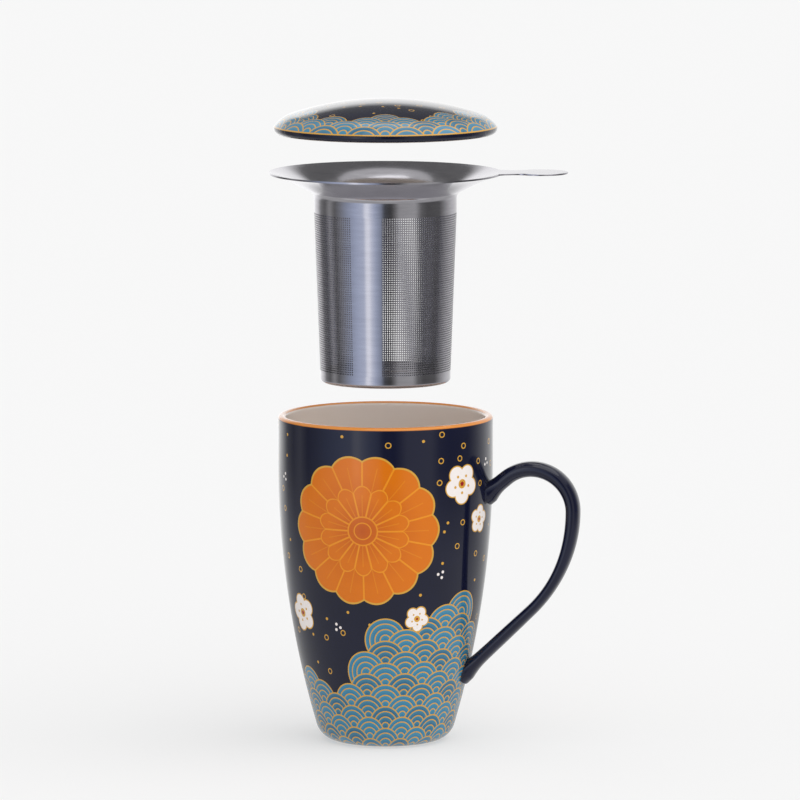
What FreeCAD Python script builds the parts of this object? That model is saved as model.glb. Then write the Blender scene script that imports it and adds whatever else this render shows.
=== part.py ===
import FreeCAD, Part
import math
import os
import Sketcher

from FreeCAD import Placement, Rotation, Vector

# Lidded tea mug with a lift-out infuser, shown taken apart: the mug stands on the table,
# the infuser is lifted straight up out of it and the lid is lifted off the infuser.
# Millimetres and degrees. The origin is the middle of the mug's foot, +Z is up, the handle points to +X.

# Driving sizes
SIZES = {
    "rim_radius": 44.5,
    "mug_height": 135.6,
    "mug_wall": 3.5,
    "floor_thickness": 5.0,
    "foot_radius": 20.0,
    "foot_corner": 9.0,
    "floor_corner": 7.0,
    "straight_from": 118.0,
    "foot_groove_radius": 15.5,
    "foot_groove_size": 0.8,
    "handle_reach": 79.8,
    "handle_middle": 97.9,
    "handle_top_bend": 17.1,
    "handle_side_bend": 58.0,
    "handle_upper_slope": 40.0,
    "handle_lower_slope": 44.0,
    "handle_thickness": 5.6,
    "handle_width": 9.5,
    "handle_root_depth": 15.1,
    "sheet": 0.7,
    "collar_radius": 47.9,
    "neck_radius": 29.4,
    "flare_bend": 68.0,
    "flare_drop": 10.8,
    "neck_bend": 3.3,
    "neck_band": 6.5,
    "tab_length": 27.2,
    "paddle_radius": 11.0,
    "tab_neck_half": 7.5,
    "tab_neck_bend": 4.0,
    "tab_shoulder_bend": 14.0,
    "tab_lap": 0.4,
    "tab_turn": 15.0,
    "infuser_depth": 86.7,
    "infuser_end_radius": 26.9,
    "base_band": 3.6,
    "base_corner": 1.6,
    "hole_radius": 1.2,
    "hole_columns": 16,
    "hole_rows": 8,
    "hole_margin": 4.0,
    "base_hole_pitch": 5.2,
    "lid_radius": 46.05,
    "lid_height": 14.2,
    "lid_band": 2.7,
    "lid_edge_bend": 2.2,
    "crown_bend": 126.0,
    "shoulder_bend": 14.0,
    "lid_foot_width": 3.35,
    "crown_thickness": 5.0,
    "seat_gap": 0.3,
    "infuser_lift": 97.7,
    "lid_lift": 16.7,
}

# How far the cut for the holes runs past the tube's wall
CUT_OVERRUN = 5.0


def circle_meeting(first, first_radius, second, second_radius, side):
    """A point at two given distances from two points; side picks one of the two."""
    apart = math.dist(first, second)
    along = (first_radius ** 2 - second_radius ** 2 + apart ** 2) / (2 * apart)
    across = side * math.sqrt(first_radius ** 2 - along ** 2)
    step_x = (second[0] - first[0]) / apart
    step_y = (second[1] - first[1]) / apart
    return (
        first[0] + along * step_x - across * step_y,
        first[1] + along * step_y + across * step_x,
    )


def angle_of(centre, point):
    return math.atan2(point[1] - centre[1], point[0] - centre[0])


def polar(centre, radius, angle):
    return (centre[0] + radius * math.cos(angle), centre[1] + radius * math.sin(angle))


def mug_side(size):
    """Centre and radius of the mug's long side curve, upright at the top and tangent to the foot's corner."""
    narrowing = size["rim_radius"] - size["foot_radius"]
    corner = size["foot_corner"]
    rise = size["straight_from"] - corner
    bend = (narrowing ** 2 - corner ** 2 + rise ** 2) / (2 * (narrowing - corner))
    return (size["rim_radius"] - bend, size["straight_from"]), bend


def flare_centre(size):
    """Middle of the flare's curve, in the infuser's own height, and of the small bend at its neck."""
    neck_centre = (size["neck_radius"] + size["neck_bend"], -size["flare_drop"])
    rim = (size["collar_radius"], 0.0)
    centre = circle_meeting(
        neck_centre,
        size["flare_bend"] - size["neck_bend"],
        rim,
        size["flare_bend"] + size["sheet"],
        -1,
    )
    return centre, neck_centre


def height_at_distance(centre, x, distance):
    """Height above a centre at which a point at x lies at the given distance from it."""
    return centre[1] + math.sqrt(distance ** 2 - (x - centre[0]) ** 2)


def closed_heights(size):
    """Height of the closed infuser's rim in the mug, and of the closed lid over that rim."""
    centre, _ = flare_centre(size)
    lip = size["mug_wall"] / 2
    lip_distance = size["flare_bend"] - lip - size["seat_gap"]
    lip_height = height_at_distance(centre, size["rim_radius"] - lip, lip_distance)
    infuser_closed = size["mug_height"] - lip - lip_height
    edge = size["lid_edge_bend"]
    edge_distance = size["flare_bend"] + size["sheet"] + size["seat_gap"] + edge
    edge_height = height_at_distance(centre, size["lid_radius"] - edge, edge_distance)
    lid_closed = edge_height - edge
    return infuser_closed, lid_closed


def with_rest_heights(size):
    infuser_closed, lid_closed = closed_heights(size)
    rest = dict(size)
    rest["infuser_rest"] = infuser_closed + size["infuser_lift"]
    rest["lid_rest"] = rest["infuser_rest"] + lid_closed + size["lid_lift"]
    return rest


def fill_sheet(doc, size):
    sheet = doc.addObject("Spreadsheet::Sheet", "Sizes")
    for row, (name, value) in enumerate(size.items(), start=1):
        sheet.set(f"A{row}", name)
        sheet.set(f"B{row}", f"{value:.10g}")
        sheet.setAlias(f"B{row}", name)
    doc.recompute()


class Outline:
    """A sketch on one of a body's own planes, with its sizes bound to the sheet."""

    START = 1
    END = 2
    CENTRE = 3
    ORIGIN = (-1, 1)
    AXIS_ACROSS = -1
    AXIS_UP = -2

    def __init__(self, body, name, plane, height=None):
        self.sketch = body.newObject("Sketcher::SketchObject", name)
        support = [f for f in body.Origin.OriginFeatures if f.Role == plane][0]
        self.sketch.AttachmentSupport = [(support, "")]
        self.sketch.MapMode = "FlatFace"
        if height:
            self.sketch.setExpression("AttachmentOffset.Base.z", height)

    def line(self, start, end):
        segment = Part.LineSegment(Vector(*start, 0), Vector(*end, 0))
        return self.sketch.addGeometry(segment, False)

    def arc(self, centre, radius, start, end):
        circle = Part.Circle(Vector(*centre, 0), Vector(0, 0, 1), radius)
        return self.sketch.addGeometry(Part.ArcOfCircle(circle, start, end), False)

    def circle(self, centre, radius):
        circle = Part.Circle(Vector(*centre, 0), Vector(0, 0, 1), radius)
        return self.sketch.addGeometry(circle, False)

    def rule(self, kind, *what):
        return self.sketch.addConstraint(Sketcher.Constraint(kind, *what))

    def join(self, first, second):
        self.rule("Coincident", *first, *second)

    def smooth(self, first, second):
        self.rule("Tangent", *first, *second)

    def measure(self, kind, what, value, name, formula):
        index = self.rule(kind, *what, value)
        self.sketch.renameConstraint(index, name)
        self.sketch.setExpression(f"Constraints.{name}", formula)

    def across(self, point, value, name, formula):
        self.measure("DistanceX", (*self.ORIGIN, *point), value, name, formula)

    def up(self, point, value, name, formula):
        self.measure("DistanceY", (*self.ORIGIN, *point), value, name, formula)

    def radius(self, geometry, value, name, formula):
        self.measure("Radius", (geometry,), value, name, formula)


def new_body(doc, label):
    body = doc.addObject("PartDesign::Body", label)
    body.Label = label
    return body


def revolve(body, outline, kind="PartDesign::Revolution"):
    feature = body.newObject(kind, outline.sketch.Name + "_turned")
    feature.Profile = outline.sketch
    feature.ReferenceAxis = (outline.sketch, ["V_Axis"])
    feature.Angle = 360
    return feature


def mug_outside(outline, size, inner_foot):
    """Foot corner, side curve and upright top of the mug's outside, from inner_foot outward."""
    rim = size["rim_radius"]
    corner = size["foot_corner"]
    side_centre, bend = mug_side(size)
    corner_centre = (size["foot_radius"], corner)
    meeting = angle_of(side_centre, corner_centre)
    lip_height = size["mug_height"] - size["mug_wall"] / 2
    foot = outline.line((inner_foot, 0), (size["foot_radius"], 0))
    turn = outline.arc(corner_centre, corner, -math.pi / 2, meeting)
    side = outline.arc(side_centre, bend, meeting, 0)
    upright = outline.line((rim, size["straight_from"]), (rim, lip_height))
    outline.rule("Horizontal", foot)
    outline.rule("Vertical", upright)
    outline.smooth((foot, outline.END), (turn, outline.START))
    outline.smooth((turn, outline.END), (side, outline.START))
    outline.smooth((side, outline.END), (upright, outline.START))
    outline.across((foot, outline.END), size["foot_radius"], "foot", "Sizes.foot_radius")
    outline.radius(turn, corner, "foot_turn", "Sizes.foot_corner")
    outline.across((upright, outline.END), rim, "rim", "Sizes.rim_radius")
    outline.up((upright, outline.START), size["straight_from"], "straight", "Sizes.straight_from")
    outline.up((upright, outline.END), lip_height, "lip_start", "Sizes.mug_height - Sizes.mug_wall / 2")
    return foot, side, upright


def make_mug_body(doc, size):
    body = new_body(doc, "mug_body")
    outline = Outline(body, "mug_profile", "XZ_Plane")
    rim = size["rim_radius"]
    wall = size["mug_wall"]
    floor = size["floor_thickness"]
    groove = size["foot_groove_size"]
    groove_middle = size["foot_groove_radius"]
    centre_disc = outline.line((0, 0), (groove_middle - groove, 0))
    foot_groove = outline.arc((groove_middle, 0), groove, 0, math.pi)
    foot, side, upright = mug_outside(outline, size, groove_middle + groove)
    side_centre, bend = mug_side(size)
    lip = outline.arc((rim - wall / 2, size["mug_height"] - wall / 2), wall / 2, 0, math.pi)
    inside = outline.line(
        (rim - wall, size["mug_height"] - wall / 2),
        (rim - wall, size["straight_from"]),
    )
    inner_bend = bend - wall
    corner = size["floor_corner"]
    corner_up = floor + corner
    reach = math.sqrt((inner_bend - corner) ** 2 - (size["straight_from"] - corner_up) ** 2)
    corner_centre = (side_centre[0] + reach, corner_up)
    meeting = angle_of(side_centre, corner_centre)
    inner_side = outline.arc(side_centre, inner_bend, meeting, 0)
    inner_turn = outline.arc(corner_centre, corner, -math.pi / 2, meeting)
    floor_top = outline.line((corner_centre[0], floor), (0, floor))
    middle = outline.line((0, floor), (0, 0))
    outline.join((centre_disc, outline.START), outline.ORIGIN)
    outline.rule("Horizontal", centre_disc)
    outline.rule("PointOnObject", foot_groove, outline.CENTRE, outline.AXIS_ACROSS)
    outline.join((centre_disc, outline.END), (foot_groove, outline.END))
    outline.join((foot_groove, outline.START), (foot, outline.START))
    outline.rule("PointOnObject", foot, outline.START, outline.AXIS_ACROSS)
    outline.across((foot_groove, outline.CENTRE), groove_middle, "groove_middle", "Sizes.foot_groove_radius")
    outline.radius(foot_groove, groove, "groove_size", "Sizes.foot_groove_size")
    outline.smooth((upright, outline.END), (lip, outline.START))
    outline.smooth((lip, outline.END), (inside, outline.START))
    outline.radius(lip, wall / 2, "lip_radius", "Sizes.mug_wall / 2")
    outline.rule("Vertical", inside)
    outline.smooth((inside, outline.END), (inner_side, outline.END))
    outline.join((inner_side, outline.CENTRE), (side, outline.CENTRE))
    outline.smooth((inner_side, outline.START), (inner_turn, outline.END))
    outline.smooth((inner_turn, outline.START), (floor_top, outline.START))
    outline.radius(inner_turn, corner, "floor_turn", "Sizes.floor_corner")
    outline.rule("Horizontal", floor_top)
    outline.rule("PointOnObject", floor_top, outline.END, outline.AXIS_UP)
    outline.up((floor_top, outline.END), floor, "floor_up", "Sizes.floor_thickness")
    outline.join((floor_top, outline.END), (middle, outline.START))
    outline.join((middle, outline.END), outline.ORIGIN)
    revolve(body, outline)
    return body


def handle_leg(body, name, size, upward):
    """Path of one leg, from the handle's outermost point into the mug's wall."""
    outline = Outline(body, name, "XZ_Plane")
    reach = size["handle_reach"]
    middle = size["handle_middle"]
    part = "top" if upward else "side"
    bend = size[f"handle_{part}_bend"]
    slope_name = "handle_upper_slope" if upward else "handle_lower_slope"
    slope = math.radians(size[slope_name])
    centre = (reach - bend, middle)
    root = size["rim_radius"] - size["handle_root_depth"]
    if upward:
        end_angle = math.pi / 2 + slope
        arc = outline.arc(centre, bend, 0, end_angle)
        first, last = outline.START, outline.END
    else:
        end_angle = slope - math.pi / 2
        arc = outline.arc(centre, bend, end_angle, 0)
        first, last = outline.END, outline.START
    leave = polar(centre, bend, end_angle)
    root_up = leave[1] - (leave[0] - root) * math.tan(slope)
    leg = outline.line(leave, (root, root_up))
    outline.smooth((arc, last), (leg, outline.START))
    outline.across((arc, first), reach, "reach", "Sizes.handle_reach")
    outline.up((arc, first), middle, "middle", "Sizes.handle_middle")
    outline.up((arc, outline.CENTRE), middle, "centre_up", "Sizes.handle_middle")
    outline.radius(arc, bend, "bend", f"Sizes.handle_{part}_bend")
    outline.across((leg, outline.END), root, "root", "Sizes.rim_radius - Sizes.handle_root_depth")
    outline.measure(
        "Angle", (outline.AXIS_ACROSS, 1, leg, outline.START), slope + math.pi, "slope",
        f"Sizes.{slope_name} * 1 deg + 180 deg",
    )
    return outline


def make_mug_handle(doc, size):
    body = new_body(doc, "mug_handle")
    half = size["handle_thickness"] / 2
    straight = (size["handle_width"] - size["handle_thickness"]) / 2
    reach = size["handle_reach"]
    section = Outline(body, "handle_section", "XY_Plane", "Sizes.handle_middle")
    far = section.arc((reach, straight), half, 0, math.pi)
    inner = section.line((reach - half, straight), (reach - half, -straight))
    near = section.arc((reach, -straight), half, math.pi, 2 * math.pi)
    outer = section.line((reach + half, -straight), (reach + half, straight))
    section.smooth((far, section.END), (inner, section.START))
    section.smooth((inner, section.END), (near, section.START))
    section.smooth((near, section.END), (outer, section.START))
    section.smooth((outer, section.END), (far, section.START))
    section.rule("Vertical", inner)
    section.rule("Vertical", outer)
    section.across((far, section.CENTRE), reach, "reach", "Sizes.handle_reach")
    section.radius(far, half, "half", "Sizes.handle_thickness / 2")
    half_straight = "(Sizes.handle_width - Sizes.handle_thickness) / 2"
    section.up((far, section.CENTRE), straight, "far_up", half_straight)
    section.measure("DistanceY", (near, section.CENTRE, *section.ORIGIN), straight, "near_down", half_straight)
    for name, upward in (("upper_leg", True), ("lower_leg", False)):
        path = handle_leg(body, name + "_path", size, upward)
        doc.recompute()
        pipe = body.newObject("PartDesign::AdditivePipe", name)
        pipe.Profile = section.sketch
        pipe.Spine = path.sketch
        doc.recompute()
    cutter = Outline(body, "mug_outline", "XZ_Plane")
    lip_height = size["mug_height"] - size["mug_wall"] / 2
    foot, _, upright = mug_outside(cutter, size, 0)
    top = cutter.line((size["rim_radius"], lip_height), (0, lip_height))
    middle = cutter.line((0, lip_height), (0, 0))
    cutter.join((foot, cutter.START), cutter.ORIGIN)
    cutter.join((upright, cutter.END), (top, cutter.START))
    cutter.rule("Horizontal", top)
    cutter.join((top, cutter.END), (middle, cutter.START))
    cutter.join((middle, cutter.END), cutter.ORIGIN)
    cutter.rule("Vertical", middle)
    revolve(body, cutter, "PartDesign::Groove")
    return body


def place_infuser_piece(body, size):
    body.Placement = Placement(Vector(0, 0, size["infuser_rest"]), Rotation(Vector(0, 0, 1), size["tab_turn"]))
    body.setExpression("Placement.Base.z", "Sizes.infuser_rest")
    body.setExpression("Placement.Rotation.Angle", "Sizes.tab_turn")


def make_collar(doc, size):
    """Flared rim of the infuser with its neck band, and the thumb tab in one piece with it."""
    body = new_body(doc, "infuser_collar")
    outline = Outline(body, "collar_profile", "XZ_Plane")
    sheet = size["sheet"]
    rim = size["collar_radius"]
    neck = size["neck_radius"]
    drop = size["flare_drop"]
    bend = size["flare_bend"]
    centre, neck_centre = flare_centre(size)
    band_end = -drop - size["neck_band"]
    meeting = angle_of(centre, neck_centre)
    under_rim = (rim, height_at_distance(centre, rim, bend))
    under_start = angle_of(centre, under_rim)
    over_start = angle_of(centre, (rim, 0))
    under = outline.arc(centre, bend, under_start, meeting)
    over = outline.arc(centre, bend + sheet, over_start, meeting)
    edge = outline.line((rim, 0), under_rim)
    neck_out = outline.arc(neck_centre, size["neck_bend"], meeting, math.pi)
    neck_in = outline.arc(neck_centre, size["neck_bend"] + sheet, meeting, math.pi)
    band_out = outline.line((neck, -drop), (neck, band_end))
    band_foot = outline.line((neck, band_end), (neck - sheet, band_end))
    band_in = outline.line((neck - sheet, band_end), (neck - sheet, -drop))
    outline.rule("Vertical", edge)
    outline.join((edge, outline.START), (over, outline.START))
    outline.join((edge, outline.END), (under, outline.START))
    outline.across((edge, outline.START), rim, "rim", "Sizes.collar_radius")
    outline.rule("PointOnObject", edge, outline.START, outline.AXIS_ACROSS)
    outline.join((under, outline.CENTRE), (over, outline.CENTRE))
    outline.join((neck_out, outline.CENTRE), (neck_in, outline.CENTRE))
    outline.smooth((under, outline.END), (neck_out, outline.START))
    outline.smooth((neck_out, outline.END), (band_out, outline.START))
    outline.smooth((over, outline.END), (neck_in, outline.START))
    outline.smooth((neck_in, outline.END), (band_in, outline.END))
    outline.rule("Vertical", band_out)
    outline.rule("Vertical", band_in)
    outline.join((band_out, outline.END), (band_foot, outline.START))
    outline.join((band_foot, outline.END), (band_in, outline.START))
    outline.rule("Horizontal", band_foot)
    outline.radius(under, bend, "flare", "Sizes.flare_bend")
    outline.radius(over, bend + sheet, "flare_top", "Sizes.flare_bend + Sizes.sheet")
    outline.radius(neck_out, size["neck_bend"], "neck_turn", "Sizes.neck_bend")
    outline.across((band_out, outline.END), neck, "neck", "Sizes.neck_radius")
    down = (band_out, outline.START, *outline.ORIGIN)
    outline.measure("DistanceY", down, drop, "drop", "Sizes.flare_drop")
    down = (band_out, outline.END, *outline.ORIGIN)
    outline.measure("DistanceY", down, -band_end, "band", "Sizes.flare_drop + Sizes.neck_band")
    revolve(body, outline)
    pad = body.newObject("PartDesign::Pad", "tab")
    pad.Profile = tab_outline(body, size).sketch
    pad.Reversed = True
    pad.Length = sheet
    pad.setExpression("Length", "Sizes.sheet")
    place_infuser_piece(body, size)
    return body


def tab_outline(body, size):
    """Thumb tab seen from above: shoulders out of the rim, a narrow neck and a round paddle."""
    outline = Outline(body, "tab_outline", "XY_Plane")
    paddle = size["paddle_radius"]
    paddle_middle = size["collar_radius"] + size["tab_length"] - paddle
    half = size["tab_neck_half"]
    bend = size["tab_neck_bend"]
    shoulder = size["tab_shoulder_bend"]
    root = size["collar_radius"] - size["tab_lap"]
    run = math.sqrt((paddle + bend) ** 2 - (half + bend) ** 2)
    neck_at = paddle_middle - run
    bend_centre = (neck_at, half + bend)
    shoulder_centre = (neck_at, half + shoulder)
    start = circle_meeting((0, 0), root, shoulder_centre, shoulder, -1)
    lean = angle_of((paddle_middle, 0), bend_centre)
    root_angle = angle_of((0, 0), start)
    shoulder_angle = angle_of(shoulder_centre, start)
    inner = outline.arc((0, 0), root, -root_angle, root_angle)
    round_end = outline.arc((paddle_middle, 0), paddle, -lean, lean)
    outline.join((inner, outline.CENTRE), outline.ORIGIN)
    outline.rule("PointOnObject", round_end, outline.CENTRE, outline.AXIS_ACROSS)
    reach = "Sizes.collar_radius + Sizes.tab_length - Sizes.paddle_radius"
    outline.across((round_end, outline.CENTRE), paddle_middle, "paddle_at", reach)
    outline.radius(round_end, paddle, "paddle", "Sizes.paddle_radius")
    outline.radius(inner, root, "root", "Sizes.collar_radius - Sizes.tab_lap")
    far_shoulder = outline.arc(shoulder_centre, shoulder, shoulder_angle, 3 * math.pi / 2)
    far_bend = outline.arc(bend_centre, bend, -math.pi / 2, lean - math.pi)
    near_shoulder = outline.arc((neck_at, -half - shoulder), shoulder, math.pi / 2, -shoulder_angle)
    near_bend = outline.arc((neck_at, -half - bend), bend, math.pi - lean, math.pi / 2)
    START = outline.START
    END = outline.END
    outline.join((inner, END), (far_shoulder, START))
    outline.smooth((far_shoulder, END), (far_bend, START))
    outline.smooth((far_bend, END), (round_end, END))
    outline.join((inner, START), (near_shoulder, END))
    outline.smooth((near_shoulder, START), (near_bend, END))
    outline.smooth((near_bend, START), (round_end, START))
    for side, wide, tight, meet in (("far", far_shoulder, far_bend, START), ("near", near_shoulder, near_bend, END)):
        outline.radius(wide, shoulder, side + "_shoulder", "Sizes.tab_shoulder_bend")
        outline.radius(tight, bend, side + "_bend", "Sizes.tab_neck_bend")
        outline.rule("Vertical", tight, outline.CENTRE, tight, meet)
    outline.up((far_bend, START), half, "far_half", "Sizes.tab_neck_half")
    near_down = (near_bend, END, *outline.ORIGIN)
    outline.measure("DistanceY", near_down, half, "near_half", "Sizes.tab_neck_half")
    return outline


def make_wall(doc, size):
    """Perforated tube, a little narrower at its foot."""
    body = new_body(doc, "infuser_wall")
    outline = Outline(body, "wall_profile", "XZ_Plane")
    sheet = size["sheet"]
    top = -size["flare_drop"] - size["neck_band"]
    foot = -size["infuser_depth"] + size["base_band"]
    wide = size["neck_radius"]
    narrow = size["infuser_end_radius"]
    corners = ((wide, top), (narrow, foot), (narrow - sheet, foot), (wide - sheet, top))
    sides = [outline.line(corners[i], corners[(i + 1) % 4]) for i in range(4)]
    for i in range(4):
        outline.join((sides[i], outline.END), (sides[(i + 1) % 4], outline.START))
    outline.rule("Horizontal", sides[1])
    outline.rule("Horizontal", sides[3])
    outline.across((sides[0], outline.START), wide, "wide", "Sizes.neck_radius")
    outline.across((sides[1], outline.START), narrow, "narrow", "Sizes.infuser_end_radius")
    outline.across((sides[2], outline.START), narrow - sheet, "narrow_inside", "Sizes.infuser_end_radius - Sizes.sheet")
    outline.across((sides[3], outline.START), wide - sheet, "wide_inside", "Sizes.neck_radius - Sizes.sheet")
    down = (sides[0], outline.START, *outline.ORIGIN)
    outline.measure("DistanceY", down, -top, "top_down", "Sizes.flare_drop + Sizes.neck_band")
    down = (sides[1], outline.START, *outline.ORIGIN)
    outline.measure("DistanceY", down, -foot, "foot_down", "Sizes.infuser_depth - Sizes.base_band")
    revolve(body, outline)
    holes = Outline(body, "hole_column", "XZ_Plane")
    rows = int(size["hole_rows"])
    radius = size["hole_radius"]
    first_row = top - size["hole_margin"]
    pitch = (top - foot - 2 * size["hole_margin"]) / (rows - 1)
    start = "Sizes.flare_drop + Sizes.neck_band + Sizes.hole_margin"
    step = "(Sizes.infuser_depth - Sizes.base_band - Sizes.flare_drop - Sizes.neck_band - 2 * Sizes.hole_margin)"
    for row in range(rows):
        height = first_row - row * pitch
        hole = holes.circle((0, height), radius)
        holes.radius(hole, radius, f"hole_{row}", "Sizes.hole_radius")
        holes.rule("PointOnObject", hole, holes.CENTRE, holes.AXIS_UP)
        down = (hole, holes.CENTRE, *holes.ORIGIN)
        formula = f"{start} + {step} * {row} / (Sizes.hole_rows - 1)"
        holes.measure("DistanceY", down, -height, f"down_{row}", formula)
    column = body.newObject("PartDesign::Pocket", "hole_column_cut")
    column.Profile = holes.sketch
    column.Refine = False
    column.Length = wide + CUT_OVERRUN
    column.setExpression("Length", f"Sizes.neck_radius + {CUT_OVERRUN}")
    doc.recompute()
    around = body.newObject("PartDesign::PolarPattern", "hole_columns")
    around.Originals = [column]
    around.Refine = False
    around.Axis = (outline.sketch, ["V_Axis"])
    around.Angle = 360
    around.Occurrences = int(size["hole_columns"])
    around.setExpression("Occurrences", "Sizes.hole_columns")
    body.Tip = around
    place_infuser_piece(body, size)
    return body


def make_base(doc, size):
    """Pressed cup that closes the tube, with rings of holes in its floor."""
    body = new_body(doc, "infuser_base")
    outline = Outline(body, "base_profile", "XZ_Plane")
    sheet = size["sheet"]
    outer = size["infuser_end_radius"]
    corner = size["base_corner"]
    bottom = -size["infuser_depth"]
    top = bottom + size["base_band"]
    turn_centre = (outer - corner, bottom + corner)
    under = outline.line((0, bottom), (outer - corner, bottom))
    turn = outline.arc(turn_centre, corner, -math.pi / 2, 0)
    side = outline.line((outer, bottom + corner), (outer, top))
    edge = outline.line((outer, top), (outer - sheet, top))
    inside = outline.line((outer - sheet, top), (outer - sheet, bottom + corner))
    inner_turn = outline.arc(turn_centre, corner - sheet, -math.pi / 2, 0)
    over = outline.line((outer - corner, bottom + sheet), (0, bottom + sheet))
    middle = outline.line((0, bottom + sheet), (0, bottom))
    START = outline.START
    END = outline.END
    outline.rule("Horizontal", under)
    outline.rule("Horizontal", over)
    outline.rule("Horizontal", edge)
    outline.rule("Vertical", side)
    outline.rule("Vertical", inside)
    outline.rule("PointOnObject", under, START, outline.AXIS_UP)
    outline.rule("PointOnObject", over, END, outline.AXIS_UP)
    outline.smooth((under, END), (turn, START))
    outline.smooth((turn, END), (side, START))
    outline.join((side, END), (edge, START))
    outline.join((edge, END), (inside, START))
    outline.smooth((inside, END), (inner_turn, END))
    outline.smooth((inner_turn, START), (over, START))
    outline.join((turn, outline.CENTRE), (inner_turn, outline.CENTRE))
    outline.join((over, END), (middle, START))
    outline.join((middle, END), (under, START))
    outline.across((side, START), outer, "outer", "Sizes.infuser_end_radius")
    outline.radius(turn, corner, "corner", "Sizes.base_corner")
    outline.radius(inner_turn, corner - sheet, "inner_corner", "Sizes.base_corner - Sizes.sheet")
    outline.measure("DistanceY", (under, START, *outline.ORIGIN), -bottom, "depth", "Sizes.infuser_depth")
    down = (side, END, *outline.ORIGIN)
    outline.measure("DistanceY", down, -top, "band", "Sizes.infuser_depth - Sizes.base_band")
    revolve(body, outline)
    holes = Outline(body, "floor_holes", "XY_Plane", "-Sizes.infuser_depth")
    pitch = size["base_hole_pitch"]
    rings = int((outer - corner - size["hole_margin"]) / pitch)
    for ring in range(1, rings + 1):
        count = 6 * ring
        for place in range(count):
            angle = 2 * math.pi * place / count
            hole = holes.circle(polar((0, 0), ring * pitch, angle), size["hole_radius"])
            holes.radius(hole, size["hole_radius"], f"hole_{ring}_{place}", "Sizes.hole_radius")
            holes.rule("Block", hole)
    cut = body.newObject("PartDesign::Pocket", "floor_hole_cut")
    cut.Profile = holes.sketch
    cut.Length = 2 * sheet
    cut.setExpression("Length", "2 * Sizes.sheet")
    cut.Reversed = True
    place_infuser_piece(body, size)
    return body


def make_lid(doc, size):
    """Low dome with an upright edge band, hollow underneath."""
    body = new_body(doc, "lid")
    outline = Outline(body, "lid_profile", "XZ_Plane")
    radius = size["lid_radius"]
    height = size["lid_height"]
    band = size["lid_band"]
    edge_bend = size["lid_edge_bend"]
    crown = size["crown_bend"]
    shoulder = size["shoulder_bend"]
    hollow = radius - edge_bend - size["lid_foot_width"]
    crown_centre = (0, height - crown)
    shoulder_centre = circle_meeting(crown_centre, crown - shoulder, (radius, band), shoulder, 1)
    meeting = angle_of(crown_centre, shoulder_centre)
    edge_angle = angle_of(shoulder_centre, (radius, band))
    ceiling = height - size["crown_thickness"]
    hollow_bend = (hollow ** 2 + ceiling ** 2) / (2 * ceiling)
    hollow_centre = (0, ceiling - hollow_bend)
    hollow_angle = angle_of(hollow_centre, (hollow, 0))
    top = outline.arc(crown_centre, crown, meeting, math.pi / 2)
    shoulder_arc = outline.arc(shoulder_centre, shoulder, edge_angle, meeting)
    side = outline.line((radius, band), (radius, edge_bend))
    edge = outline.arc((radius - edge_bend, edge_bend), edge_bend, -math.pi / 2, 0)
    rest = outline.line((radius - edge_bend, 0), (hollow, 0))
    inside = outline.arc(hollow_centre, hollow_bend, hollow_angle, math.pi / 2)
    middle = outline.line((0, ceiling), (0, height))
    START = outline.START
    END = outline.END
    outline.rule("PointOnObject", top, outline.CENTRE, outline.AXIS_UP)
    outline.rule("PointOnObject", top, END, outline.AXIS_UP)
    outline.smooth((top, START), (shoulder_arc, END))
    outline.join((shoulder_arc, START), (side, START))
    outline.rule("Vertical", side)
    outline.smooth((side, END), (edge, END))
    outline.smooth((edge, START), (rest, START))
    outline.rule("Horizontal", rest)
    outline.join((rest, END), (inside, START))
    outline.rule("PointOnObject", inside, outline.CENTRE, outline.AXIS_UP)
    outline.rule("PointOnObject", inside, END, outline.AXIS_UP)
    outline.join((inside, END), (middle, START))
    outline.join((middle, END), (top, END))
    outline.radius(top, crown, "crown", "Sizes.crown_bend")
    outline.radius(shoulder_arc, shoulder, "shoulder", "Sizes.shoulder_bend")
    outline.radius(edge, edge_bend, "edge_bend", "Sizes.lid_edge_bend")
    outline.across((side, START), radius, "radius", "Sizes.lid_radius")
    outline.up((side, START), band, "band", "Sizes.lid_band")
    outline.up((top, END), height, "height", "Sizes.lid_height")
    outline.up((inside, END), ceiling, "ceiling", "Sizes.lid_height - Sizes.crown_thickness")
    foot = "Sizes.lid_radius - Sizes.lid_edge_bend - Sizes.lid_foot_width"
    outline.across((rest, END), hollow, "hollow", foot)
    outline.rule("PointOnObject", rest, END, outline.AXIS_ACROSS)
    revolve(body, outline)
    body.Placement = Placement(Vector(0, 0, size["lid_rest"]), Rotation())
    body.setExpression("Placement.Base.z", "Sizes.lid_rest")
    return body


def check_and_write(doc, pieces):
    doc.recompute()
    for thing in doc.Objects:
        if "Invalid" in thing.State or "Error" in thing.State:
            raise RuntimeError(f"{thing.Label} did not recompute: {thing.State}")
    for piece in pieces:
        if piece.Shape.isNull() or not piece.Shape.isValid():
            raise RuntimeError(f"{piece.Label} has no valid shape")
        if len(piece.Shape.Solids) != 1:
            raise RuntimeError(f"{piece.Label} is not one solid")
    os.makedirs("parts", exist_ok=True)
    for piece in pieces:
        piece.Shape.exportStep(f"parts/{piece.Label}.step")
        print(f"{piece.Label}: {piece.Shape.Volume:.1f} cubic millimetres")


def main():
    doc = FreeCAD.newDocument("tea_mug")
    size = with_rest_heights(SIZES)
    fill_sheet(doc, size)
    makers = (make_mug_body, make_mug_handle, make_collar, make_wall, make_base, make_lid)
    pieces = []
    for maker in makers:
        pieces.append(maker(doc, size))
        doc.recompute()
    check_and_write(doc, pieces)
    print(f"infuser rim at {size['infuser_rest']:.3f}, lid at {size['lid_rest']:.3f}")


main()
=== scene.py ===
import math

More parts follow.
